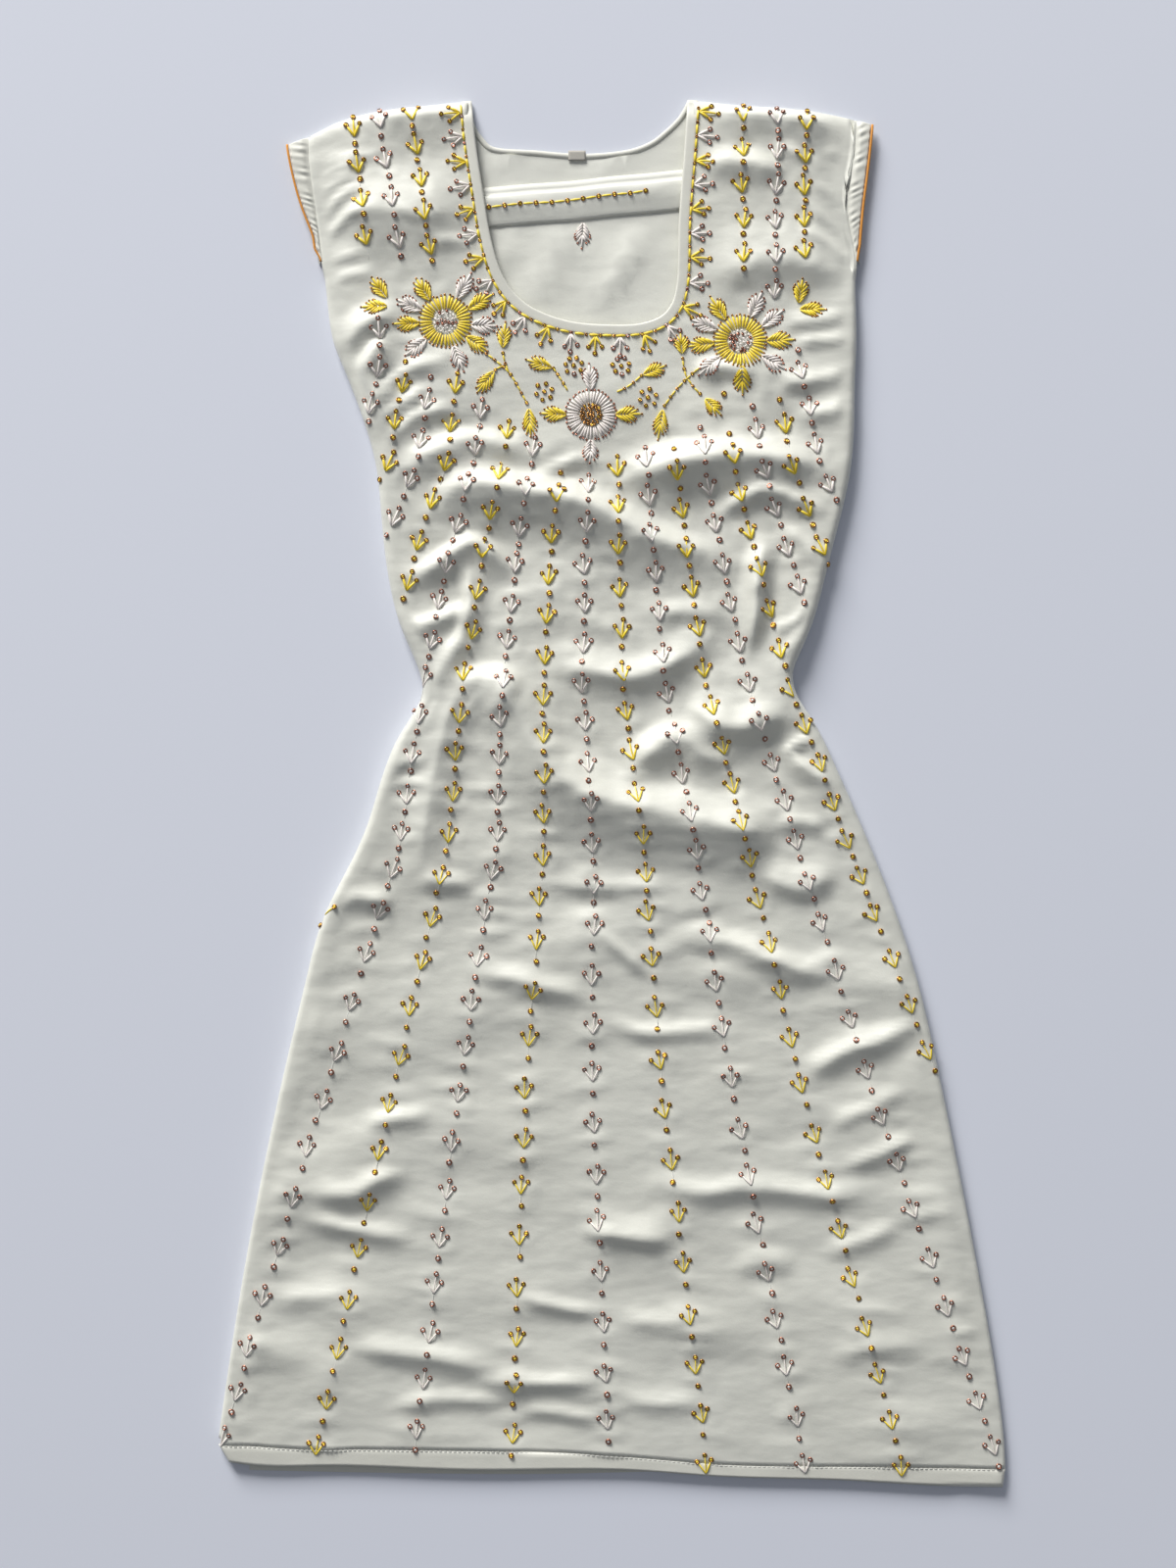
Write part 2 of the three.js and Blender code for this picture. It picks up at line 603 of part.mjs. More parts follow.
// A flap of two layers folded at its hemward edge, the upper one shorter than the lower one.
function backTuck() {
  const { left, right, yLeft, yRight, depth, step, wall, gap } = tuck;
  const bottom = cloth + seam;
  const middle = bottom + wall + gap / 2;
  const outerRadius = wall + gap / 2;
  const outline = [[depth + step, bottom], [depth + step, bottom + wall], [outerRadius, bottom + wall]];
  const foldSteps = 6;
  for (let i = 1; i < foldSteps; i += 1) {
    const angle = (Math.PI * i) / foldSteps;
    outline.push([outerRadius - (gap / 2) * Math.sin(angle), middle - (gap / 2) * Math.cos(angle)]);
  }
  outline.push([outerRadius, middle + gap / 2], [depth, middle + gap / 2], [depth, middle + outerRadius]);
  for (let i = 0; i <= foldSteps; i += 1) {
    const angle = (Math.PI * i) / foldSteps;
    outline.push([outerRadius * (1 - Math.sin(angle)), middle + outerRadius * Math.cos(angle)]);
  }
  const shape = new THREE.Shape(outline.map(([s, z]) => new THREE.Vector2(s, z)));
  const width = Math.hypot(right - left, yRight - yLeft);
  const flap = new THREE.ExtrudeGeometry(shape, { depth: width, bevelEnabled: false });
  // the outline's first axis becomes +Y, its second +Z, and the length runs along +X
  const frame = new THREE.Matrix4().makeBasis(
    new THREE.Vector3(0, 1, 0),
    new THREE.Vector3(0, 0, 1),
    new THREE.Vector3(1, 0, 0),
  );
  flap.applyMatrix4(frame);
  flap.rotateZ(Math.atan2(yRight - yLeft, right - left));
  return flap.translate(left, yLeft, 0);
}

// ---- Sleeve bands ----------------------------------------------------------------------------

// Both lines of a sleeve band at a share `t` of its length, shoulder to underarm.
function sleeveBand(side, t) {
  const edge = side === "left" ? leftSleeveEdge : rightSleeveEdge;
  const outwards = side === "left" ? -1 : 1;
  const [top] = sideEnds(side);
  const stitchY = lerp(top, cuffEnd + seam, t);
  const stitchX = builtSideAt(side, stitchY) + outwards * seam;
  const edgeY = lerp(edge[0].y, edge[edge.length - 1].y, t);
  const pipedX = read(edge, "y", "x", edgeY);
  const narrowest = stitchX + outwards * 1.6;
  const bandX = pipedX - outwards * (2 * pipingRadius + seam);
  const edgeX = outwards > 0 ? Math.max(bandX, narrowest) : Math.min(bandX, narrowest);
  const fall = THREE.MathUtils.clamp(((top - stitchY) / shoulderFall) * 0.9 + 0.1, 0, 1);
  return {
    stitch: new THREE.Vector2(stitchX, stitchY),
    edge: new THREE.Vector2(edgeX, edgeY),
    piping: new THREE.Vector2(edgeX + outwards * (pipingRadius + seam), edgeY),
    height: lerp(2.9, 5.4, Math.sqrt(1 - (1 - fall) ** 2)),
  };
}

function sleeveBandFront(side) {
  const rows = cuffGathers.count * 4;
  const columns = 4;
  const grid = [];
  for (let r = 0; r <= rows; r += 1) {
    const t = r / rows;
    const band = sleeveBand(side, t);
    const wave = Math.sin(2 * Math.PI * cuffGathers.count * t) * Math.sin(Math.PI * t) ** 0.5;
    const row = [];
    for (let c = 0; c < columns; c += 1) {
      const share = c / (columns - 1);
      const lift = wave * cuffGathers.depth * (1 - 0.5 * share) + 0.5 * Math.sin(Math.PI * share);
      const place = band.stitch.clone().lerp(band.edge, share);
      row.push(new THREE.Vector3(place.x, place.y, band.height + lift));
    }
    grid.push(side === "left" ? row.reverse() : row);
  }
  return wallUnder(grid, cloth, cloth + seam);
}

function sleeveBandBack(side) {
  const steps = 36;
  const stitch = [];
  const edge = [];
  for (let i = 0; i <= steps; i += 1) {
    const band = sleeveBand(side, i / steps);
    stitch.push([band.stitch.x, band.stitch.y]);
    edge.push([band.edge.x, band.edge.y]);
  }
  const outline = [...stitch, ...edge.reverse()];
  return flatPiece(side === "left" ? outline.reverse() : outline, 0, cloth);
}

function sleevePiping(side) {
  const steps = 22;
  const middle = -cloth / 2;
  const points = Array.from({ length: steps + 1 }, (_, i) => {
    const band = sleeveBand(side, i / steps);
    return new THREE.Vector3(band.piping.x, band.piping.y, band.height + middle);
  });
  const section = new THREE.Shape(Array.from({ length: 8 }, (_, i) => {
    const angle = (2 * Math.PI * i) / 8;
    return new THREE.Vector2(pipingRadius * Math.cos(angle), pipingRadius * Math.sin(angle));
  }));
  const path = new THREE.CatmullRomCurve3(points);
  return new THREE.ExtrudeGeometry(section, { steps, extrudePath: path, bevelEnabled: false });
}

// ---- Raised flowers --------------------------------------------------------------------------

// The panel's highest point within `probe` of a place.
function panelTop(panel, x, y, probe) {
  const ray = new THREE.Raycaster();
  const downwards = new THREE.Vector3(0, 0, -1);
  const offsets = [[0, 0]];
  for (let i = 0; i < 8; i += 1) {
    offsets.push([probe * Math.cos((Math.PI * i) / 4), probe * Math.sin((Math.PI * i) / 4)]);
  }
  return Math.max(...offsets.map(([dx, dy]) => {
    ray.set(new THREE.Vector3(x + dx, y + dy, 100), downwards);
    const hit = ray.intersectObject(panel)[0];
    return hit ? hit.point.z : 0;
  }));
}

function raisedFlower(panel, flower) {
  const form = flowerForm;
  const radii = (angle) => {
    const leaf = Math.cos((flower.leaves / 2) * angle) ** 2;
    return [form.heart, form.ring, lerp(form.notch, form.reach, leaf)].map((r) => r * flower.scale);
  };
  const rises = [form.ringRise, form.ringRise, form.leafRise];
  const place = (radius, angle, rise) => {
    const x = flower.x + radius * Math.cos(angle);
    const y = flower.y + radius * Math.sin(angle);
    const base = panelTop(panel, x, y, form.probe) + form.clearance;
    return [[x, y, base + rise], [x, y, base]];
  };
  const pairs = [place(0, 0, form.heartRise)];
  for (let s = 0; s < form.sectors; s += 1) {
    const angle = (2 * Math.PI * s) / form.sectors;
    radii(angle).forEach((radius, k) => pairs.push(place(radius, angle, rises[k])));
  }
  const rings = rises.length;
  const vertices = pairs.flatMap(([top, bottom]) => [...top, ...bottom]);
  const at = (sector, ring, under) => {
    const index = ring < 0 ? 0 : 1 + (sector % form.sectors) * rings + ring;
    return 2 * index + (under ? 1 : 0);
  };
  const faces = [];
  for (let s = 0; s < form.sectors; s += 1) {
    faces.push(at(s, -1, false), at(s, 0, false), at(s + 1, 0, false));
    faces.push(at(s, -1, true), at(s + 1, 0, true), at(s, 0, true));
    for (let k = 0; k < rings - 1; k += 1) {
      faces.push(at(s, k, false), at(s, k + 1, false), at(s + 1, k + 1, false));
      faces.push(at(s, k, false), at(s + 1, k + 1, false), at(s + 1, k, false));
      faces.push(at(s, k, true), at(s + 1, k + 1, true), at(s, k + 1, true));
      faces.push(at(s, k, true), at(s + 1, k, true), at(s + 1, k + 1, true));
    }
    const k = rings - 1;
    faces.push(at(s, k, false), at(s, k, true), at(s + 1, k, true));
    faces.push(at(s, k, false), at(s + 1, k, true), at(s + 1, k, false));
  }
  return geometryOf(vertices, faces);
}

// ---- The garment -----------------------------------------------------------------------------

const ivory = 0xefede0;
const ivoryBand = 0xf2f0e6;
const crepe = 0.62;

const garment = new THREE.Group();
const front = piece("front_panel", frontPanel(), ivory, crepe);
garment.add(front);
garment.add(piece("back_panel", backPanel(), ivory, crepe));
garment.add(piece("front_neck_band", frontNeckBand(), ivoryBand, crepe));
garment.add(piece("back_neck_band", backNeckBand(), ivoryBand, crepe));
garment.add(piece("neck_label", neckLabel(), 0xb9b4a6, 0.8));
garment.add(piece("back_tuck", backTuck(), ivory, crepe));
garment.add(piece("front_hem", frontHem(), ivoryBand, crepe));
garment.add(piece("back_hem", backHem(), ivoryBand, crepe));
for (const side of ["left", "right"]) {
  garment.add(piece(`${side}_cuff_front`, sleeveBandFront(side), ivoryBand, crepe));
  garment.add(piece(`${side}_cuff_back`, sleeveBandBack(side), ivoryBand, crepe));
  garment.add(piece(`${side}_cuff_edging`, sleevePiping(side), 0xd98a2e, 0.7));
}
for (const flower of flowers) {
  garment.add(piece(flower.name, raisedFlower(front, flower), flower.colour, 0.55));
}
garment.position.set(-patternMiddle.x, -patternMiddle.y, 0);

export default garment;
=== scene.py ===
import math
import random

import bpy
import numpy as np
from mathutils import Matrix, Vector
from mathutils.bvhtree import BVHTree
from mathutils.geometry import delaunay_2d_cdt


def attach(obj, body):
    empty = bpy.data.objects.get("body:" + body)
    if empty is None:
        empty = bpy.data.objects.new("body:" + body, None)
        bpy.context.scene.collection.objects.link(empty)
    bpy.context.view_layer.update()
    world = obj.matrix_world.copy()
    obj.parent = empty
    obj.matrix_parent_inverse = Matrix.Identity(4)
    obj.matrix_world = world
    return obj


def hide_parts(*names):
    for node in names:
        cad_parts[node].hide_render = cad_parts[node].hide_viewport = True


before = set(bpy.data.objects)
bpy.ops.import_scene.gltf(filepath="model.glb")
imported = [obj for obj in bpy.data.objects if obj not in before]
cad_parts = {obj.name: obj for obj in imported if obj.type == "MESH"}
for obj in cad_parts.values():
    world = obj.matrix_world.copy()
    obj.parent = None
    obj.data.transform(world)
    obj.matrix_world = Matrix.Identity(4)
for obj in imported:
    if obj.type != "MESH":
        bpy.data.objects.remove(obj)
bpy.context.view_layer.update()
print("frame loaded,", len(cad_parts), "pieces from the pattern")

# All sizes are in millimetres, turned to metres as each mesh is made. The pattern's own X and Y
# are used in the tables, and toFrame moves them to the frame's.
mm = 0.001
patternMiddle = (0.4, -2.2)
dice = random.Random(7)


def toFrame(x, y):
    return x - patternMiddle[0], y - patternMiddle[1]


def mix(a, b, t):
    return a + (b - a) * t


def ease(t):
    t = np.clip(t, 0, 1)
    return t * t * (3 - 2 * t)


def readTable(table, column, y):
    # a column's value at y, between rows that run from the neck down
    return np.interp(y, table["y"][::-1], table[column][::-1])


def filled(values):
    # gaps in a row of values, filled from both sides
    values = np.array([np.nan if v is None else v for v in values], dtype=float)
    known = ~np.isnan(values)
    return np.interp(np.arange(len(values)), np.flatnonzero(known), values[known])


def smoothLine(points, steps):
    # evenly spaced points on a smooth line through the given ones
    p = np.array([points[0], *points, points[-1]], dtype=float)
    t = np.linspace(0, 1, 24, endpoint=False)[:, None]
    parts = []
    for i in range(1, len(p) - 2):
        a, b, c, d = p[i - 1], p[i], p[i + 1], p[i + 2]
        parts.append(0.5 * (2 * b + (c - a) * t + (2 * a - 5 * b + 4 * c - d) * t**2
                            + (3 * b - a - 3 * c + d) * t**3))
    dense = np.vstack([*parts, p[-1:]])
    run = np.concatenate([[0], np.cumsum(np.hypot(*np.diff(dense, axis=0).T))])
    where = np.linspace(0, run[-1], steps + 1)
    return np.stack([np.interp(where, run, dense[:, k]) for k in range(dense.shape[1])], axis=1)


def sideOf(line):
    # unit vectors to the right of a line of points, as one walks along it
    run = np.gradient(line, axis=0)
    run /= np.linalg.norm(run, axis=1)[:, None]
    return np.stack([run[:, 1], -run[:, 0]], axis=1)


def walkLine(line):
    # the length of a line of even points, and the point a given way along it
    last = len(line) - 1
    length = np.sum(np.hypot(*np.diff(line, axis=0).T))
    return length, lambda d: min(last, max(0, int(round(last * d / length))))


def insideShape(x, y, shape):
    # even-odd test of many places against a closed outline
    inside = np.zeros(np.shape(x), dtype=bool)
    for (ax, ay), (bx, by) in zip(shape, np.roll(shape, -1, axis=0)):
        if ay != by:
            crosses = (ay > y) != (by > y)
            inside ^= crosses & (x < (bx - ax) * (y - ay) / (by - ay) + ax)
    return inside


def blur(grid, sigma, axis):
    reach = max(1, int(3 * sigma))
    weights = np.exp(-0.5 * (np.arange(-reach, reach + 1) / sigma) ** 2)
    weights /= weights.sum()
    pad = [(0, 0)] * grid.ndim
    pad[axis] = (reach, reach)
    padded = np.pad(grid, pad, mode="reflect", reflect_type="odd")
    out = np.zeros_like(grid)
    for k, weight in enumerate(weights):
        index = [slice(None)] * grid.ndim
        index[axis] = slice(k, k + grid.shape[axis])
        out += weight * padded[tuple(index)]
    return out


# the pattern's solids, read from above
def treeOf(*nodes):
    points, faces = [], []
    for name in nodes:
        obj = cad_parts[name]
        start = len(points)
        points += [(obj.matrix_world @ v.co) / mm for v in obj.data.vertices]
        faces += [[start + i for i in p.vertices] for p in obj.data.polygons]
    return BVHTree.FromPolygons(points, faces)


def topOf(tree, x, y):
    hit = tree.ray_cast(Vector((x, y, 200)), Vector((0, 0, -1)))[0]
    return None if hit is None else hit.z


def lastHit(tree, inside, outside):
    # the outermost place between two that still lies over the solid
    inside, outside = Vector(inside), Vector(outside)
    for _ in range(16):
        middle = (inside + outside) / 2
        if topOf(tree, middle.x, middle.y) is None:
            outside = middle
        else:
            inside = middle
    return inside


frontTree = treeOf("front_panel")
hemTree = treeOf("front_hem")


# meshes
def meshPiece(name, points, faces, material, replaced=()):
    mesh = bpy.data.meshes.new(name)
    mesh.from_pydata([tuple(p) for p in np.asarray(points, dtype=float) * mm], [], [tuple(f) for f in faces])
    mesh.validate()
    mesh.polygons.foreach_set("use_smooth", [True] * len(mesh.polygons))
    mesh.materials.append(material)
    obj = bpy.data.objects.new(name, mesh)
    bpy.context.collection.objects.link(obj)
    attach(obj, "root")
    if replaced:
        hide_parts(*replaced)
    return obj


def thicken(obj, thickness):
    shell = obj.modifiers.new("clothThickness", "SOLIDIFY")
    shell.thickness = thickness * mm
    shell.offset = -1
    shell.use_even_offset = False
    return obj


def gridFaces(rows, columns, keep=None):
    faces = []
    for r in range(rows - 1):
        for c in range(columns - 1):
            if keep is None or keep[r, c]:
                a = r * columns + c
                faces.append((a, a + columns, a + columns + 1, a + 1))
    return faces


def tubeFaces(rings, n, flip=False):
    # the side of a tube of rings with n points each, and its two ends
    faces = []
    for r in range(rings - 1):
        for k in range(n):
            a, b = r * n + k, r * n + (k + 1) % n
            faces.append((a, a + n, b + n, b) if flip else (a, b, b + n, a + n))
    ends = [tuple(range(n))[::-1], tuple(range((rings - 1) * n, rings * n))]
    return faces + [f[::-1] if flip else f for f in ends]


def gridPiece(name, grid, material, node, thickness, flip=False):
    grid = np.array(grid)
    faces = [f[::-1] if flip else f for f in gridFaces(*grid.shape[:2])]
    return thicken(meshPiece(name, grid.reshape(-1, 3), faces, material, [node]), thickness)


def dropLoose(points, faces):
    used = sorted({i for f in faces for i in f})
    new = {old: i for i, old in enumerate(used)}
    return np.asarray(points)[used], [tuple(new[i] for i in f) for f in faces]


# node materials
def newMaterial(name):
    material = bpy.data.materials.new(name)
    material.use_nodes = True
    nodes = material.node_tree.nodes
    return material, nodes, material.node_tree.links, nodes["Principled BSDF"]


def addNode(nodes, kind, **values):
    node = nodes.new(kind)
    for key, value in values.items():
        if key in node.inputs:
            node.inputs[key].default_value = value
        else:
            setattr(node, key, value)
    return node


def bumpFrom(nodes, links, height, distance, strength, below=None):
    bump = addNode(nodes, "ShaderNodeBump", Distance=distance, Strength=strength)
    links.new(height, bump.inputs["Height"])
    if below is not None:
        links.new(below.outputs["Normal"], bump.inputs["Normal"])
    return bump


def tonedMaterial(name, light, dark, patches, detail, **finish):
    # base colour drifts between a light and a dark tone, and the finish is even all over
    material, nodes, links, shader = newMaterial(name)
    where = addNode(nodes, "ShaderNodeTexCoord").outputs["Object"]
    tone = addNode(nodes, "ShaderNodeTexNoise", Scale=patches, Detail=detail)
    blend = addNode(nodes, "ShaderNodeMix", data_type="RGBA")
    links.new(where, tone.inputs["Vector"])
    links.new(tone.outputs["Fac"], blend.inputs["Factor"])
    blend.inputs[6].default_value = (*dark, 1)  # the mix node's two colour sockets
    blend.inputs[7].default_value = (*light, 1)
    links.new(blend.outputs[2], shader.inputs["Base Color"])
    for key, value in finish.items():
        shader.inputs[key.replace("_", " ")].default_value = value
    return material, nodes, links, shader, where


def clothMaterial(name, light, dark, rough=0.5, wrinkle=0.5):
    material, nodes, links, shader, where = tonedMaterial(
        name, light, dark, 9.0, 3.0, Roughness=rough, Sheen_Weight=0.2, Sheen_Roughness=0.4,
        Specular_IOR_Level=0.55)
    # warp and weft of a fine crepe, over soft cross wrinkles
    warp = addNode(nodes, "ShaderNodeTexWave", bands_direction="X", Scale=900.0, Distortion=2.0)
    weft = addNode(nodes, "ShaderNodeTexWave", bands_direction="Y", Scale=900.0, Distortion=2.0)
    weave = addNode(nodes, "ShaderNodeMath", operation="ADD")
    for k, wave in enumerate((warp, weft)):
        links.new(where, wave.inputs["Vector"])
        links.new(wave.outputs["Fac"], weave.inputs[k])
    stretch = addNode(nodes, "ShaderNodeMapping")
    stretch.inputs["Scale"].default_value = (0.55, 1.0, 1.0)
    links.new(where, stretch.inputs["Vector"])
    broad = addNode(nodes, "ShaderNodeTexNoise", Scale=42.0, Detail=2.5, Roughness=0.45)
    links.new(stretch.outputs["Vector"], broad.inputs["Vector"])
    fine = addNode(nodes, "ShaderNodeTexNoise", Scale=700.0, Detail=2.0)
    links.new(where, fine.inputs["Vector"])
    soft = bumpFrom(nodes, links, broad.outputs["Fac"], 0.004, wrinkle)
    grain = bumpFrom(nodes, links, fine.outputs["Fac"], 0.0002, 0.25, soft)
    threads = bumpFrom(nodes, links, weave.outputs["Value"], 0.00008, 0.35, grain)
    links.new(threads.outputs["Normal"], shader.inputs["Normal"])
    return material


def threadMaterial(name, light, dark, rough=0.38):
    material, nodes, links, shader, where = tonedMaterial(
        name, light, dark, 260.0, 2.0, Roughness=rough, Sheen_Weight=0.15)
    fibre = addNode(nodes, "ShaderNodeTexNoise", Scale=1800.0, Detail=2.0)
    links.new(where, fibre.inputs["Vector"])
    bump = bumpFrom(nodes, links, fibre.outputs["Fac"], 0.00012, 0.5)
    links.new(bump.outputs["Normal"], shader.inputs["Normal"])
    return material


def beadMaterial(name, light, dark):
    return tonedMaterial(name, light, dark, 130.0, 1.0, Metallic=0.85, Roughness=0.24)[0]


ivoryCrepe = clothMaterial("ivoryCrepe", (0.76, 0.765, 0.70), (0.725, 0.725, 0.65), rough=0.42)
ivoryInside = clothMaterial("ivoryInside", (0.81, 0.815, 0.75), (0.77, 0.77, 0.69), wrinkle=0.3)
ivoryBand = clothMaterial("ivoryBand", (0.75, 0.75, 0.68), (0.715, 0.71, 0.635), wrinkle=0.2)
ochrePiping = threadMaterial("ochrePiping", (0.83, 0.36, 0.05), (0.66, 0.25, 0.03), 0.6)
labelWeave = clothMaterial("labelWeave", (0.52, 0.50, 0.45), (0.45, 0.43, 0.38), rough=0.75, wrinkle=0.1)
yellowThread = threadMaterial("yellowThread", (0.95, 0.76, 0.06), (0.86, 0.63, 0.03))
pinkThread = threadMaterial("pinkThread", (0.93, 0.88, 0.84), (0.86, 0.78, 0.73))
clearThread = threadMaterial("clearThread", (0.80, 0.80, 0.76), (0.70, 0.70, 0.66))
goldBead = beadMaterial("goldBead", (0.50, 0.27, 0.08), (0.33, 0.15, 0.045))
roseBead = beadMaterial("roseBead", (0.47, 0.22, 0.155), (0.31, 0.13, 0.09))
print("materials made")

# camera and lights
camera = {"x": 600, "y": 800, "pixel": 0.68, "middle": (622, 807), "height": 1900.0, "frameHeight": 1088.0}
lights = {
    "window": {"place": (-4.0, 9.2, 4.1), "size": 4.4, "power": 1800.0, "colour": (1.0, 0.985, 0.96)},
    "ceiling": {"place": (0.1, 0.1, 2.6), "size": 2.0, "power": 4.0, "colour": (0.95, 0.97, 1.0)},
}
room = {"Color": (0.80, 0.84, 0.92, 1), "Strength": 0.2}


def makeCamera(spec):
    eye = bpy.data.objects.new("overheadCamera", bpy.data.cameras.new("overheadCamera"))
    x, y = toFrame(
        (spec["x"] - spec["middle"][0]) * spec["pixel"],
        (spec["middle"][1] - spec["y"]) * spec["pixel"],
    )
    eye.location = (x * mm, y * mm, spec["height"] * mm)
    eye.data.lens = eye.data.sensor_width * spec["height"] / spec["frameHeight"]
    bpy.context.collection.objects.link(eye)
    bpy.context.scene.camera = eye


def makeLights(specs):
    for name, spec in specs.items():
        lamp = bpy.data.objects.new(name, bpy.data.lights.new(name, "AREA"))
        lamp.data.size = spec["size"]
        lamp.data.energy = spec["power"]
        lamp.data.color = spec["colour"]
        lamp.location = spec["place"]
        lamp.rotation_euler = (-Vector(spec["place"])).to_track_quat("-Z", "Y").to_euler()
        bpy.context.collection.objects.link(lamp)
    world = bpy.data.worlds.new("softRoom")
    world.use_nodes = True
    for key, value in room.items():
        world.node_tree.nodes["Background"].inputs[key].default_value = value
    bpy.context.scene.world = world
    bpy.context.scene.view_settings.view_transform = "Standard"


table = {"half": 20000, "below": 0.4, "colour": (0.73, 0.76, 0.85, 1), "rough": 0.85}


def makeFloor():
    half, z = table["half"], -table["below"]
    mesh = bpy.data.meshes.new("paleFloor")
    corners = [(-half, -half, z), (half, -half, z), (half, half, z), (-half, half, z)]
    mesh.from_pydata([tuple(np.array(p) * mm) for p in corners], [], [(0, 1, 2, 3)])
    floor = bpy.data.objects.new("paleFloor", mesh)
    material, _, _, shader = newMaterial("paleTable")
    shader.inputs["Base Color"].default_value = table["colour"]
    shader.inputs["Roughness"].default_value = table["rough"]
    mesh.materials.append(material)
    bpy.context.collection.objects.link(floor)


makeCamera(camera)
makeLights(lights)
makeFloor()
print("camera, lights and floor ready")

# front: shoulders to hem stitch, wrapped round both sides
front = {
    "shoulder": {"left": 453, "right": 464.6}, "hem": {"left": -448, "right": -469},
    "rows": 290, "columns": 150, "rollSteps": 7, "underSteps": 3,
    "sleeveEnd": 362, "sleeveTwist": 22, "openTurn": 20, "thickness": 0.7,
    "sideBlend": 38, "fall": 9, "shoulderTop": 2.1, "lowest": 4.3, "smoothing": 0.5, "relief": 1.3,
    "tuckLift": 1.1, "tuckFrom": 376, "tuckTo": 448, "edgeShare": (0.55, 0.2),
    "probe": 4.0, "probeTop": 449.0, "openFlap": 1.6, "meet": 0.03,
    "shoulderRows": (0, 0.4, 1.2, 2.4, 4.0, 6.0, 8.5, 11.5), "evenRows": 14.5,
}
sprigDip = {"reach": 20, "deep": 0.5, "wide": 5, "pucker": 0.3, "puckerAt": 9, "puckerWide": 4}
rolled = front["rollSteps"] + front["underSteps"]  # points round one side
# lie of the front: `loft` in the middle, `edge` over the rolled sides, `under` how far they turn in
lie = {
    "y": [480, 425, 380, 338, 250, 160, 78, -60, -300, -420, -485],
    "loft": [6.6, 7.6, 7.6, 7.0, 7.0, 7.6, 8, 6.4, 5.6, 5.2, 4.6],
    "edge": [4.5, 4.6, 5.0, 8, 10, 11, 12, 9.5, 7, 6, 5.4],
    "under": [14, 14, 14, 16, 22, 24, 26, 34, 34, 24, 14],
}
foldForm = {"steps": 20, "crisp": 1.3, "ends": 0.32}


def fold(rise, left, right, *path, ends=foldForm["ends"]):
    # a crest through the points, and how far its slopes reach to the left and right of someone
    # walking along it
    return {"rise": rise, "left": left, "right": right, "path": path, "ends": ends}


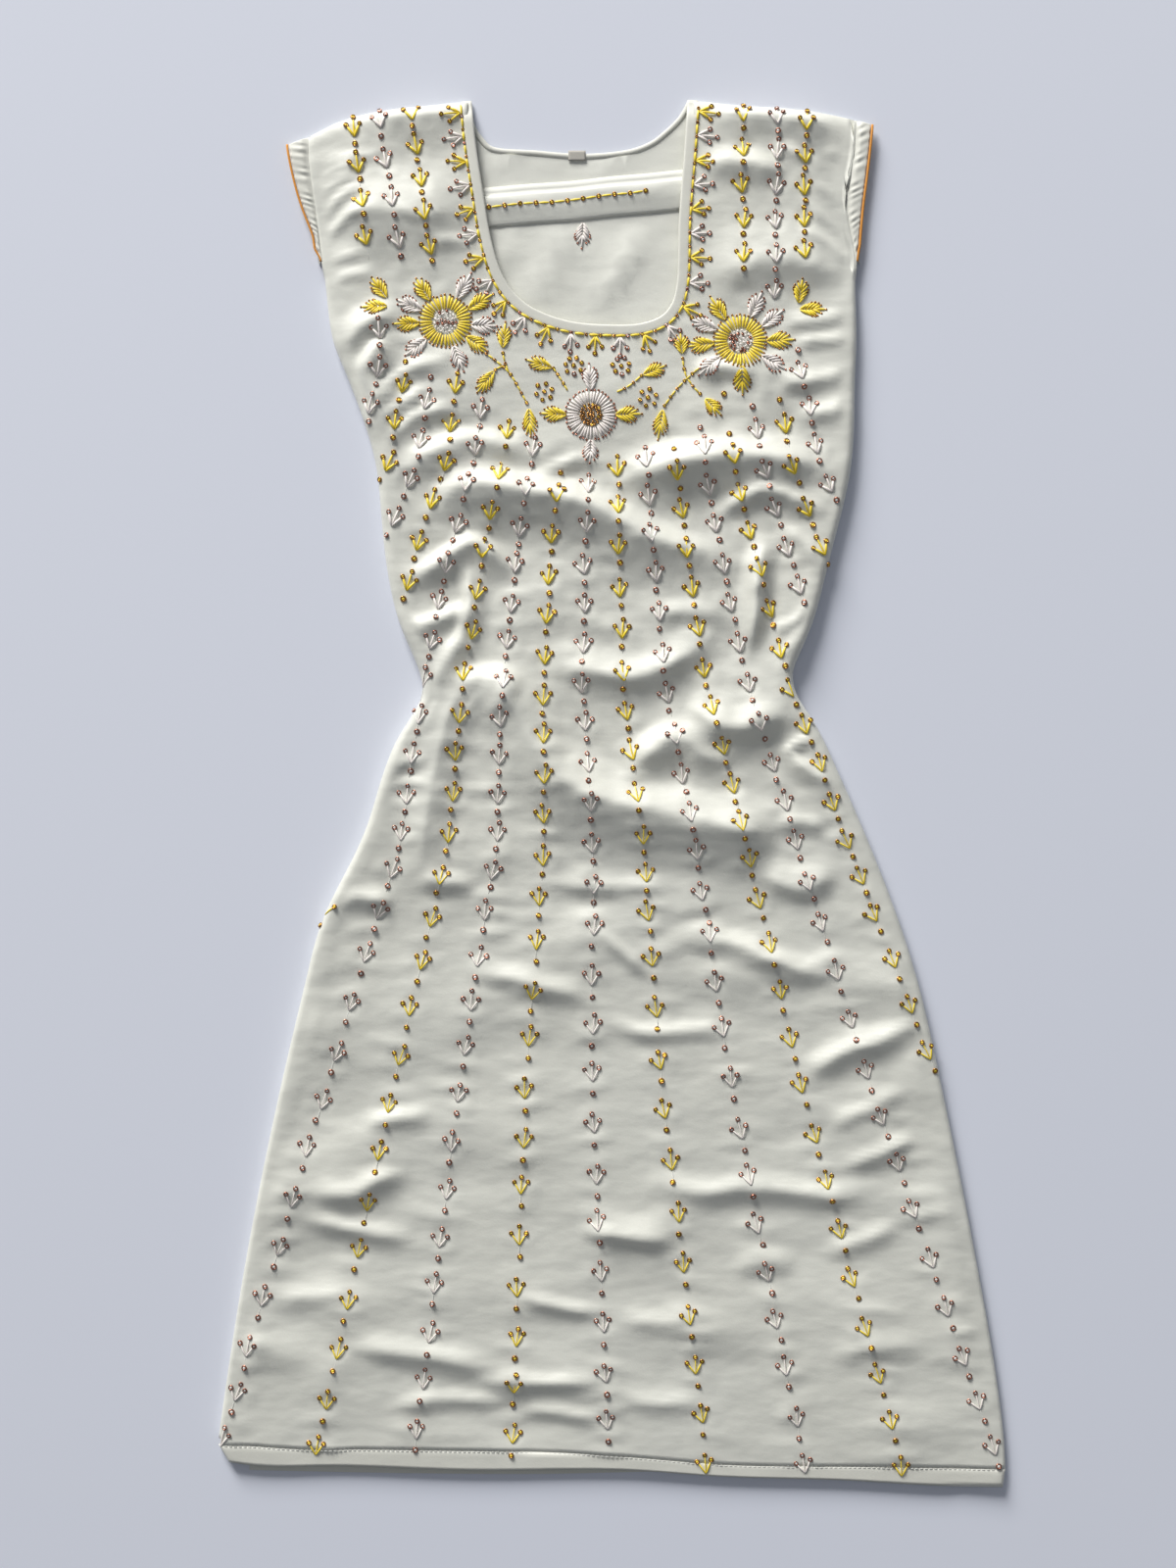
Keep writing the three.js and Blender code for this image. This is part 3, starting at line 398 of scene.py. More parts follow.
folds = [
    # bust
    fold(9.5, 16, 42, (-138, 174), (-120, 196), (-98, 212), (-60, 208), (-17, 199), (26, 177), (60, 165),
         (92, 157)),
    fold(6, 9, 18, (-153, 145), (-130, 151), (-110, 164), (-94, 172), (-80, 163), (-64, 146)),
    fold(5, 9, 14, (-148, 112), (-125, 116), (-108, 123), (-92, 131)),
    fold(5, 9, 18, (-128, 60), (-118, 82), (-104, 104), (-97, 126), (-97, 148), (-94, 168)),
    fold(5.5, 20, 18, (-50, 88), (-20, 84), (4, 80), (20, 79), (34, 83), (50, 92), (66, 101),
         (84, 107)),
    fold(2.2, 14, 14, (22, 117), (50, 124), (86, 124)),
    fold(9, 20, 34, (0, 200), (20, 219), (60, 229), (108, 231), (140, 224), (160, 204)),
    fold(5.5, 10, 14, (68, 182), (84, 198), (106, 207), (130, 201), (157, 188)),
    fold(6, 14, 14, (96, 88), (100, 118), (101, 140), (104, 160), (113, 180)),
    fold(3, 10, 12, (116, 186), (130, 174), (144, 162), (153, 150)),
    fold(3, 7, 7, (110, 111), (126, 116), (142, 128)),
    fold(3, 6, 7, (114, 93), (128, 99), (140, 109)),
    fold(4.5, 12, 24, (-150, 212), (-128, 232), (-100, 242), (-70, 240), (-46, 231)),
    fold(2.5, 8, 9, (-57, 214), (-36, 224), (-17, 229), (0, 221)),
    # waist and hip
    fold(8, 26, 22, (50, 62), (60, 56), (68, 49), (80, 45), (92, 44), (104, 48), (118, 51), (134, 44)),
    fold(7, 18, 27, (4, 12), (22, 22), (34, 31), (46, 36), (56, 33), (64, 25), (74, 19), (88, 14)),
    fold(3.5, 6, 6, (116, 22), (124, 29), (134, 35), (145, 39)),
    fold(4.5, 7, 15, (118, 28), (128, 22), (138, 14), (150, 8), (162, 0)),
    fold(2.6, 10, 10, (114, -22), (134, -22), (152, -27)),
    fold(10, 30, 44, (-90, 86), (-77, 74), (-66, 58), (-55, 38), (-43, 19), (-27, 5), (-9, -4),
         (12, -11), (40, -16), (80, -24), (122, -32), ends=0.14),
    fold(5.2, 14, 40, (-110, 71), (-93, 77), (-76, 76), (-58, 68)),
    fold(5, 24, 24, (-86, 96), (-98, 78), (-109, 58), (-117, 32), (-123, 4), (-129, -36), (-133, -78)),
    fold(3.6, 8, 10, (-172, 10), (-150, 19), (-122, 23)),
    fold(2, 5, 9, (-168, 0), (-144, 6), (-122, 4)),
    fold(4, 12, 13, (-196, -78), (-173, -73), (-146, -78)),
    fold(2.8, 12, 11, (-134, -60), (-112, -62), (-90, -67)),
    fold(2.2, 11, 13, (-44, -63), (0, -66), (48, -69)),
    fold(4.5, 22, 13, (98, -52), (112, -61), (128, -67), (144, -63), (160, -50)),
    # skirt
    fold(4.6, 13, 16, (30, -108), (60, -101), (88, -106), (112, -116), (134, -124), (150, -118),
         (166, -106)),
    fold(2.8, 7, 9, (-8, -96), (8, -110), (26, -128)),
    fold(3.8, 13, 13, (-106, -125), (-70, -129), (-40, -137), (-6, -144)),
    fold(2.8, 9, 11, (-6, -159), (24, -167), (52, -166), (90, -161)),
    fold(5.2, 13, 17, (126, -200), (148, -188), (163, -180), (190, -171), (220, -159)),
    fold(2.8, 9, 13, (-174, -231), (-150, -226), (-120, -224)),
    fold(4.2, 13, 15, (-208, -275), (-180, -279), (-158, -268), (-134, -261)),
    fold(3.6, 11, 13, (-218, -293), (-190, -300), (-163, -306), (-130, -310)),
    fold(4.2, 14, 15, (16, -268), (60, -278), (100, -274), (150, -279), (194, -272)),
    fold(4.8, 20, 11, (-24, -302), (10, -308), (50, -313)),
    fold(2.8, 10, 11, (148, -234), (172, -222), (208, -207)),
    fold(3, 10, 11, (156, -263), (184, -252), (216, -237)),
    fold(3.4, 9, 9, (-64, -350), (-34, -357), (-3, -362)),
    fold(3.8, 15, 13, (-190, -383), (-150, -388), (-110, -394), (-72, -405)),
    fold(3.6, 8, 11, (-98, -408), (-50, -409), (-2, -408)),
    fold(3, 8, 11, (-152, -424), (-110, -420), (-68, -425)),
    fold(2.6, 8, 9, (-68, -428), (-36, -430), (-2, -436)),
    fold(2.2, 11, 13, (4, -364), (34, -368), (66, -365)),
    fold(2.6, 12, 13, (82, -331), (104, -326), (132, -329)),
    fold(2.6, 11, 12, (146, -320), (176, -311), (204, -298)),
    fold(2.2, 9, 11, (4, -419), (36, -424), (68, -419)),
    fold(2.2, 14, 15, (150, -394), (186, -384), (222, -386)),
    fold(2.4, 12, 13, (-236, -352), (-206, -350), (-178, -345)),
    # left shoulder and underarm
    fold(3.2, 8, 30, (-170, 461), (-146, 468), (-98, 470)),
    fold(5.4, 36, 46, (-192, 386), (-162, 400), (-130, 402), (-94, 400)),
    fold(1.6, 5, 6, (-150, 402), (-134, 397), (-112, 399)),
    fold(2, 6, 8, (-126, 377), (-112, 380), (-94, 378)),
    fold(4.4, 5, 7, (-201, 374), (-183, 396), (-160, 406)),
    fold(4, 5, 6, (-204, 388), (-188, 409), (-170, 420)),
    fold(3.6, 5, 6, (-205, 404), (-192, 419), (-172, 428)),
    fold(3.2, 5, 6, (-206, 420), (-187, 430), (-168, 435)),
    fold(2.2, 4, 6, (-205, 432), (-184, 438), (-160, 439)),
    fold(2.6, 5, 7, (-200, 362), (-186, 369), (-170, 372)),
    fold(2.2, 6, 7, (-198, 348), (-182, 356), (-160, 358)),
    fold(6, 18, 14, (-193, 298), (-180, 312), (-163, 325), (-140, 329)),
    fold(8.2, 24, 6, (-146, 320), (-160, 309), (-169, 296), (-171, 284), (-165, 268), (-164, 244)),
    fold(3.2, 8, 10, (-164, 268), (-148, 284), (-130, 294), (-104, 297)),
    fold(3.2, 8, 9, (-162, 248), (-146, 265), (-122, 279)),
    fold(3.2, 8, 10, (-160, 230), (-146, 249), (-126, 262), (-98, 266)),
    # right shoulder and side
    fold(4, 8, 24, (64, 470), (100, 468), (140, 463), (168, 456)),
    fold(4.5, 12, 20, (60, 432), (84, 435), (106, 432), (124, 424)),
    fold(2.4, 6, 8, (110, 445), (124, 443), (138, 436)),
    fold(4.4, 36, 24, (60, 352), (90, 361), (120, 366), (150, 360), (169, 346)),
    fold(2.6, 5, 7, (134, 406), (152, 394), (171, 374)),
    fold(2.6, 5, 7, (128, 389), (150, 380), (170, 361)),
    fold(2.4, 5, 6, (138, 422), (156, 411), (170, 396)),
    fold(2, 5, 6, (146, 442), (158, 440), (170, 430)),
    fold(3, 8, 9, (118, 326), (142, 325), (170, 331)),
    fold(3, 5, 8, (124, 311), (148, 312), (171, 314)),
    fold(4, 9, 12, (54, 289), (78, 293), (104, 289)),
    fold(3.6, 8, 12, (112, 283), (140, 284), (170, 291)),
    fold(4, 9, 14, (126, 261), (150, 262), (170, 269)),
]


def foldRise(x, y, table):
    total = np.zeros_like(x)
    for row in table:
        line = smoothLine([toFrame(*p) for p in row["path"]], foldForm["steps"])
        reach = max(row["left"], row["right"])
        low, high = line.min(axis=0) - reach, line.max(axis=0) + reach
        near = (x > low[0]) & (x < high[0]) & (y > low[1]) & (y < high[1])
        px, py = x[near], y[near]
        nearest = np.full(px.shape, 1e9)
        side, along = np.ones_like(px), np.zeros_like(px)
        for i, (start, end) in enumerate(zip(line[:-1], line[1:])):
            run = end - start
            s = np.clip(((px - start[0]) * run[0] + (py - start[1]) * run[1]) / (run @ run), 0, 1)
            dx, dy = px - start[0] - s * run[0], py - start[1] - s * run[1]
            away = np.hypot(dx, dy)
            closer = away < nearest
            nearest = np.where(closer, away, nearest)
            side = np.where(closer, run[0] * dy - run[1] * dx, side)
            along = np.where(closer, (i + s) / foldForm["steps"], along)
        width = np.where(side > 0, row["left"], row["right"])
        taper = ease(along / row["ends"]) * ease((1 - along) / row["ends"])
        slope = 1 - np.sin(0.5 * math.pi * np.clip(nearest / width, 0, 1)) ** foldForm["crisp"]
        total[near] += row["rise"] * taper * slope
    return total


frontNeckPoints = [
    (-96, 478), (-93, 448), (-88, 415), (-82, 380), (-73, 354), (-57, 336), (-30, 325), (0, 322),
    (24, 323.5), (40, 332), (47, 352), (48.5, 397), (52, 442), (54.4, 478.7),
]
backNeckPoints = [
    (-96, 478), (-94, 463), (-88, 453), (-79, 446), (-52, 444), (-20, 441.6), (10, 444),
    (27, 449.5), (38, 457.5), (48, 467.5), (54.4, 478.7),
]
neckLine = smoothLine([toFrame(*p) for p in frontNeckPoints], 150)
backNeckLine = smoothLine([toFrame(*p) for p in backNeckPoints], 90)


reading = {
    "inside": {"left": -108, "right": 98}, "outside": {"left": -320, "right": 320}, "sidePoints": 400,
    "neck": (-106, 64), "top": (428, 520), "topPoints": 40,
    "low": (-420, -520), "lowPoints": 120, "corner": 16,
}


class FrontPattern:
    # outlines of the front, read from the solids once and smoothed

    def __init__(self, spec):
        self.sideX, self.sideY = {}, {}
        for side in ("left", "right"):
            top, low = (toFrame(0, front[end][side])[1] for end in ("shoulder", "hem"))
            y = np.linspace(top, low, spec["sidePoints"])
            inner, outer = spec["inside"][side], spec["outside"][side]
            x = [lastHit(frontTree, (inner, v, 0), (outer, v, 0)).x for v in np.clip(y, low + 0.6, top - 2.4)]
            self.sideX[side], self.sideY[side] = blur(np.array(x), 2.2, 0), y
        first, last = (self.sideX["left"][end] + 0.5 for end in (0, -1))
        topEnd, lowEnd = (self.sideX["right"][end] - 0.5 for end in (0, -1))
        self.topX = np.concatenate([np.linspace(first, spec["neck"][0], spec["topPoints"]),
                                    np.linspace(spec["neck"][1], topEnd, spec["topPoints"])])
        self.topY = self.edgeAt(self.topX, *spec["top"])
        self.lowX = np.linspace(last, lowEnd, spec["lowPoints"])
        held = np.clip(self.lowX, self.lowX[0] + spec["corner"], self.lowX[-1] - spec["corner"])
        lowY = self.edgeAt(held, *spec["low"])
        # straight on to both corners from the places beside them
        for span, beyond in ((slice(6, 16), self.lowX < held), (slice(-16, -6), self.lowX > held)):
            slope, start = np.polyfit(self.lowX[span], lowY[span], 1)
            lowY = np.where(beyond, start + slope * self.lowX, lowY)
        self.lowY = blur(lowY, 2.0, 0)

    def edgeAt(self, across, inner, outer):
        return np.array([lastHit(frontTree, (x, inner, 0), (x, outer, 0)).y for x in across])

    def sideAt(self, side, y):
        return np.interp(-y, -self.sideY[side], self.sideX[side])

    def ends(self, v):
        left, right = (mix(self.sideY[side][0], self.sideY[side][-1], v) for side in ("left", "right"))
        return self.sideAt("left", left), left, self.sideAt("right", right), right

    def place(self, u, v):
        leftX, leftY, rightX, rightY = self.ends(v)
        between = lambda table, end: mix(table["left"][end], table["right"][end], u)
        top = np.interp(between(self.sideX, 0), self.topX, self.topY) - between(self.sideY, 0)
        low = np.interp(between(self.sideX, -1), self.lowX, self.lowY) - between(self.sideY, -1)
        y = mix(leftY, rightY, u) + (1 - ease(v / 0.35)) * top + ease((v - 0.8) / 0.2) * low
        return mix(leftX, rightX, u), y


pattern = FrontPattern(reading)
print("outlines read")


def lying(y, column):
    return readTable(lie, column, y + patternMiddle[1])


def frontHeight(x, y):
    # outer face of the front, with its folds and its fall to the shoulder seam
    inwards = np.minimum(x - pattern.sideAt("left", y), pattern.sideAt("right", y) - x)
    inside = ease(inwards / front["sideBlend"])
    flat = mix(lying(y, "edge"), lying(y, "loft"), inside)
    overTuck = ease((y - front["tuckFrom"]) / 12) * ease((front["tuckTo"] - y) / 12)
    # the share of the folds that reaches the rolled sides, below and above the arms
    atEdge = mix(*front["edgeShare"], ease((y - 360) / 20))
    full = flat + front["relief"] * foldRise(x, y, folds) * mix(atEdge, 1, inside)
    full = np.maximum(full, front["lowest"] + front["tuckLift"] * overTuck)
    fall = np.clip((np.interp(x, pattern.topX, pattern.topY) - y) / front["fall"], 0, 1)
    return mix(front["shoulderTop"], full, np.sqrt(1 - (1 - fall) ** 2))


def rolledSide(edgeX, y, top, inwards, turn, flap):
    # from just past the top of the roll to the last edge, underneath or hanging open
    radius = top / 2
    centre = edgeX + inwards * sideReach(top, turn, flap)
    points = []
    for k in range(1, front["rollSteps"] + 1):
        angle = turn * k / front["rollSteps"]
        points.append((centre - inwards * radius * math.sin(angle), y, top - radius * (1 - math.cos(angle))))
    lastX, _, lastZ = points[-1]
    for k in range(1, front["underSteps"] + 1):
        run = flap * k / front["underSteps"]
        points.append((lastX - inwards * run * math.cos(turn), y, max(0.05, lastZ - run * math.sin(turn))))
    return points


def sideReach(top, turn, flap):
    radius = top / 2
    return radius if turn > math.pi / 2 else radius * math.sin(turn) + flap * math.cos(turn)


def frontSurface(sprigs):
    # rows are finest by the shoulder, where the cloth bends down to its seam
    length = front["shoulder"]["left"] - front["hem"]["left"]
    near = np.array(front["shoulderRows"]) / length
    v = np.concatenate([near, np.linspace(front["evenRows"] / length, 1, front["rows"] - len(near))])
    rows, columns = len(v), front["columns"]
    edges = [pattern.ends(share) for share in v]
    tops, turned = {}, {}
    for side, x, y, inwards in (("left", 0, 1, 1), ("right", 2, 3, -1)):
        edgeX, edgeY = np.array([e[x] for e in edges]), np.array([e[y] for e in edges])
        probeY = np.minimum(edgeY, front["probeTop"])
        tops[side] = blur(frontHeight(edgeX + inwards * front["probe"], probeY), 1.5, 0)
        down = np.clip((toFrame(0, front["sleeveEnd"])[1] - edgeY) / front["sleeveTwist"], 0, 1)
        turn = np.radians(mix(front["openTurn"], 180, ease(down)))
        under = lying(edgeY, "under") - tops[side] / 2
        flap = mix(front["openFlap"], under, ease((down - 0.8) / 0.2))
        turned[side] = list(zip(turn, flap))
    grid = np.zeros((rows, columns, 3))
    for r, (leftX, leftY, rightX, rightY) in enumerate(edges):
        width = rightX - leftX
        reach = [sideReach(tops[side][r], *turned[side][r]) / width for side in ("left", "right")]
        u = np.linspace(reach[0], 1 - reach[1], columns)
        grid[r, :, 0], grid[r, :, 1] = pattern.place(u, v[r])
    x, y = grid[:, :, 0], grid[:, :, 1]
    heights = frontHeight(x, y)
    soft = blur(blur(heights, front["smoothing"], 0), front["smoothing"], 1)
    drape = ease((np.interp(x, pattern.topX, pattern.topY) - y - 6) / 12)
    heights = mix(heights, soft, drape) + front["relief"] * softRise(x, y) * drape
    # the cloth dips under each stitched sprig and puckers round it
    dip = sprigDip
    for sx, sy in sprigs:
        close = (np.abs(x - sx) < dip["reach"]) & (np.abs(y - sy) < dip["reach"])
        away = np.hypot(x[close] - sx, y[close] - sy)
        pucker = dip["pucker"] * np.exp(-(((away - dip["puckerAt"]) / dip["puckerWide"]) ** 2))
        heights[close] += -dip["deep"] * np.exp(-((away / dip["wide"]) ** 2)) + pucker
    # both ends of a row meet the rolled sides
    share = np.linspace(0, 1, columns)
    for side, away in (("left", share), ("right", 1 - share)):
        pull = ease(1 - away / front["meet"])
        heights = mix(heights, tops[side][:, None], pull[None, :] * drape)
    grid[:, :, 2] = heights
    wholeRows = []
    for r, (leftX, leftY, rightX, rightY) in enumerate(edges):
        left = rolledSide(leftX, leftY, grid[r, 0, 2], 1, *turned["left"][r])
        right = rolledSide(rightX, rightY, grid[r, -1, 2], -1, *turned["right"][r])
        wholeRows.append(left[::-1] + [tuple(p) for p in grid[r]] + right)
    return np.array(wholeRows)


# embroidery: where every sprig and bead of the columns goes, in pattern mm
columnLines = {
    "y": [300, 229, 168, 73, -36, -199, -464],
    "middle": [-14, -13.6, -17, -19, -11.6, -12.2, 0],
    "left": [-86, -92.5, -110.2, -128.5, -144.8, -194.5, -272],
    "right": [58, 65.3, 76.2, 95.2, 129.2, 178.8, 269],
    "reach": 8, "quarters": 4, "pitch": 33.4, "waistPitch": 27.2, "waistFrom": -110, "waistFade": 60,
    "jitter": 0.7, "end": -486,
    "starts": {0: 214, 1: 226, 2: 232, 3: 250, 4: 262, 5: 284, 6: 300, 7: 312, 8: 320},
    "beadAt": 0.376, "shoulderBeadAt": 0.38, "shoulderPitch": 25.0,
    "shoulder": [
        {"top": (-177, 457), "low": (-168, 382), "pink": False},
        {"top": (-159, 463), "low": (-141, 352), "pink": True},
        {"top": (-137, 468), "low": (-121, 352), "pink": False},
        {"top": (92, 467), "low": (92, 345), "pink": False},
        {"top": (116, 465), "low": (114, 345), "pink": True},
        {"top": (136, 461), "low": (134.6, 372), "pink": False},
    ],
}


def columnX(index, y):
    middle = readTable(columnLines, "middle", y)
    side = readTable(columnLines, "left" if index < 0 else "right", y)
    return middle + (side - middle) * abs(index) / columnLines["quarters"]


# the sewn columns draw the cloth up in short puckers, and broad soft swells lie between them
puckers = {
    "pitch": 15, "rise": (0.4, 1.5), "across": (7, 17), "along": (3.0, 5.6), "tilt": 0.24, "aside": 7,
    "above": 40, "strength": (0.55, 0.85), "end": -462,
}
swells = {
    "count": 130, "rise": (1.0, 2.8), "across": (20, 50), "along": (12, 24), "tilt": 0.5, "y": (-450, 290),
    "above": -60, "strength": (0.5, 0.8), "valley": -0.7,
}


def softRelief():
    # (x, y, rise, across, along, tilt) for each pucker and swell, in frame mm
    spans = lambda spec: [dice.uniform(*spec[k]) for k in ("rise", "across", "along")]
    strength = lambda spec, y: spec["strength"][0 if y > spec["above"] else 1]
    places = []
    for index in range(-columnLines["reach"], columnLines["reach"] + 1):
        y = columnLines["starts"][abs(index)]
        while y > puckers["end"]:
            x = columnX(index, y) + dice.uniform(-puckers["aside"], puckers["aside"])
            rise, across, along = spans(puckers)
            tilt = dice.uniform(-1, 1) * puckers["tilt"]
            places.append((*toFrame(x, y), rise * strength(puckers, y), across, along, tilt))
            y -= puckers["pitch"] * dice.uniform(0.6, 1.6)
    for _ in range(swells["count"]):
        y = dice.uniform(*swells["y"])
        x = columnX(dice.choice((-1, 1)) * dice.uniform(0, 7), y)
        rise, across, along = spans(swells)
        rise *= dice.choice((swells["valley"], 1)) * strength(swells, y)
        places.append((*toFrame(x, y), rise, across, along, dice.uniform(-1, 1) * swells["tilt"]))
    return places


softPlaces = softRelief()


def softRise(x, y):
    total = np.zeros_like(x)
    for px, py, rise, across, along, tilt in softPlaces:
        dx, dy = x - px, y - py
        near = (np.abs(dx) < 2.4 * across) & (np.abs(dy) < 2.4 * along + 0.5 * across)
        dx, dy = dx[near], dy[near]
        u = (dx * math.cos(tilt) + dy * math.sin(tilt)) / across
        v = (dy * math.cos(tilt) - dx * math.sin(tilt)) / along
        total[near] += rise * np.exp(-(u**2) - v**2)
    return total


def columnMarks():
    # (x, y, angle, pink, kind) for each sprig and lone bead, in frame mm
    marks = []
    spec = columnLines
    for index in range(-spec["reach"], spec["reach"] + 1):
        pink = index % 2 == 0
        y = spec["starts"][abs(index)] + dice.uniform(-6, 6)
        uneven = dice.uniform(0.96, 1.04)
        while y > spec["end"]:
            atWaist = float(ease((y - spec["waistFrom"]) / spec["waistFade"]))
            pitch = uneven * mix(spec["pitch"], spec["waistPitch"], atWaist)
            for kind, step in (("sprig", 0.0), ("bead", spec["beadAt"])):
                at = y - step * pitch
                if at < spec["end"]:
                    continue
                x = columnX(index, at) + dice.uniform(-spec["jitter"], spec["jitter"])
                tilt = math.atan2(columnX(index, at + 10) - columnX(index, at - 10), 20)
                marks.append((*toFrame(x, at), -tilt, pink, kind))
            y -= pitch * dice.uniform(0.93, 1.07)
    for line in spec["shoulder"]:
        top, low = np.array(line["top"], float), np.array(line["low"], float)
        run = low - top
        length = np.linalg.norm(run)
        tilt = -math.atan2(run[0], -run[1])
        count = round(length / spec["shoulderPitch"])
        for k in range(count + 1):
            for kind, step in (("sprig", 0.0), ("bead", spec["shoulderBeadAt"])):
                share = (k + step) / count
                if share <= 1.02:
                    x, y = top + run * share
                    marks.append((*toFrame(x + dice.uniform(-0.6, 0.6), y), -tilt, line["pink"], kind))
    return marks


neckBand = {
    "overlap": 3.6, "seam": 7.2, "lowest": 3.0, "shoulder": 2.6, "thickness": 0.5,
    "profile": [(1.8, -1.9), (0.4, -1.7), (0.0, -1.1), (0.05, -0.5), (0.25, -0.15), (0.6, 0), (1.0, 0.03),
                (2.6, 0.05), (4.4, 0.05), (5.8, 0.03), (6.3, -0.05), (6.5, -0.4)],
}
marks = columnMarks()
surface = frontSurface([(m[0], m[1]) for m in marks if m[4] == "sprig"])
cellMiddle = (surface[:-1, :-1] + surface[1:, 1:]) / 2
neckCut = neckLine + sideOf(neckLine) * neckBand["overlap"]
neckCut = np.vstack([[neckCut[0, 0], 560], neckCut, [neckCut[-1, 0], 560]])
keep = ~(insideShape(cellMiddle[:, :, 0], cellMiddle[:, :, 1], neckCut) & (cellMiddle[:, :, 2] > 1.0))
frontPoints, frontFaces = dropLoose(surface.reshape(-1, 3), gridFaces(*surface.shape[:2], keep))
frontCloth = meshPiece("frontCloth", frontPoints, frontFaces, ivoryCrepe, ["front_panel"])
thicken(frontCloth, front["thickness"])
print("front cloth", len(frontFaces), "faces")


# neck band round the front neck, over the cut edge of the panel
def frontBand():
    out = sideOf(neckLine)
    ends = np.minimum(np.arange(len(neckLine)), np.arange(len(neckLine))[::-1])
    seam = neckLine + out * neckBand["seam"]
    heights = np.maximum(blur(frontHeight(seam[:, 0], seam[:, 1]), 1.5, 0), neckBand["lowest"])
    grid = []
    for i, (x, y) in enumerate(neckLine):
        height = mix(neckBand["shoulder"], heights[i], float(ease(ends[i] / 5)))
        row = [(x + out[i, 0] * away, y + out[i, 1] * away, max(height + lift, 2.0))
               for away, lift in neckBand["profile"]]
        grid.append(row[::-1])
    return gridPiece("frontNeckBand", grid, ivoryBand, "front_neck_band", neckBand["thickness"],
                     flip=True)


frontNeckBand = frontBand()

# hem: the front's last band, stitched and pressed, wrapped round both sides like the front
hem = {
    "rows": 7, "thickness": 0.9, "groove": 0.25, "tops": (6.2, 5.2), "flaps": (13, 11),
    "left": {"x": -240, "y": -461}, "right": {"x": 240, "y": -478}, "past": 80, "lowest": -520,
}


def hemSurface():
    columns = front["columns"]
    u = np.linspace(0, 1, columns)
    topX, topY = pattern.place(u, np.ones(columns))
    left, right = hem["left"], hem["right"]
    lowLeft = lastHit(hemTree, (left["x"], left["y"], 0), (left["x"] - hem["past"], left["y"], 0)).x
    lowRight = lastHit(hemTree, (right["x"], right["y"], 0), (right["x"] + hem["past"], right["y"], 0)).x
    lowX = np.linspace(lowLeft, lowRight, columns)
    lowY = []
    for x in lowX:
        held = np.clip(x, lowLeft + 4, lowRight - 4)
        lowY.append(lastHit(hemTree, (held, -458 if x < 100 else -470, 0), (held, hem["lowest"], 0)).y)
    lowY = blur(np.array(lowY), 3.0, 0)
    rows = []
    for share in np.linspace(0, 1, hem["rows"]):
        width = mix(topX[-1], lowX[-1], share) - mix(topX[0], lowX[0], share)
        reach = mix(*hem["tops"], share) / 2 / width
        uu = np.linspace(reach, 1 - reach, columns)
        px = mix(np.interp(uu, u, topX), np.interp(uu, u, lowX), share)
        py = mix(np.interp(uu, u, topY) + 0.3, np.interp(uu, u, lowY), share)
        pz = [topOf(hemTree, x, y) or topOf(frontTree, x, y + 3) for x, y in zip(px, py)]
        pz = blur(filled(pz), 2, 0)
        if share == 0:
            pz = surface[-1, rolled:-rolled, 2] - hem["groove"]
        leftX, rightX = mix(topX[0], lowX[0], share), mix(topX[-1], lowX[-1], share)
        flap = mix(*hem["flaps"], share)
        leftSide = rolledSide(leftX, py[0], pz[0], 1, math.pi, flap)
        rightSide = rolledSide(rightX, py[-1], pz[-1], -1, math.pi, flap)
        rows.append(leftSide[::-1] + [(a, b, c) for a, b, c in zip(px, py, pz)] + rightSide)
    return np.array(rows)


hemGrid = hemSurface()
hemPoints, hemFaces = hemGrid.reshape(-1, 3), gridFaces(*hemGrid.shape[:2])
frontHem = gridPiece("frontHem", hemGrid, ivoryBand, "front_hem", hem["thickness"])
after = [tuple(i + len(frontPoints) for i in f) for f in hemFaces]
sewnTree = BVHTree.FromPolygons([Vector(p) for p in [*frontPoints, *hemPoints]], frontFaces + after)
print("bands and hem made")


# flat-lying pieces: a fine top over the solid's own outline
def outlineOf(node, z):
    # the longest loop of the node's edges that lie at height z
    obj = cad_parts[node]
    places = {}
    same = []
    for vertex in obj.data.vertices:
        point = (obj.matrix_world @ vertex.co) / mm
        same.append(places.setdefault(tuple(round(v, 2) for v in point), len(places)))
    points = [Vector(p) for p in places]
    edges = set()
    for poly in obj.data.polygons:
        corners = [same[i] for i in poly.vertices]
        if all(abs(points[i].z - z) < 0.03 for i in corners):
            edges.update(zip(corners, corners[1:] + corners[:1]))
    step = {a: b for a, b in edges if (b, a) not in edges}
    loops = []
    while step:
        start, b = step.popitem()
        loop = [start]
        while b != start and b in step:
            loop.append(b)
            b = step.pop(b)
        loops.append(loop)
    loop = max(loops, key=len)
    return np.array([(points[i].x, points[i].y) for i in loop])


def flatTop(node, z, pitch, heightAt):
    outline = outlineOf(node, z)
    low, high = outline.min(axis=0), outline.max(axis=0)
    gx, gy = np.meshgrid(np.arange(low[0], high[0], pitch), np.arange(low[1], high[1], pitch))
    gx, gy = gx.ravel() + 0.37 * (np.arange(gx.size) % 2), gy.ravel()
    inside = insideShape(gx, gy, outline)
    places = [Vector(p) for p in outline] + [Vector(p) for p in np.stack([gx, gy], axis=1)[inside]]
    count = len(outline)
    edges = [(i, (i + 1) % count) for i in range(count)]
    points, _, faces, *_ = delaunay_2d_cdt(places, edges, [list(range(count))], 1, 1e-4)
    points = np.array([(p.x, p.y) for p in points])
    heights = heightAt(points[:, 0], points[:, 1])
    return np.column_stack([points, heights]), [tuple(f) for f in faces]


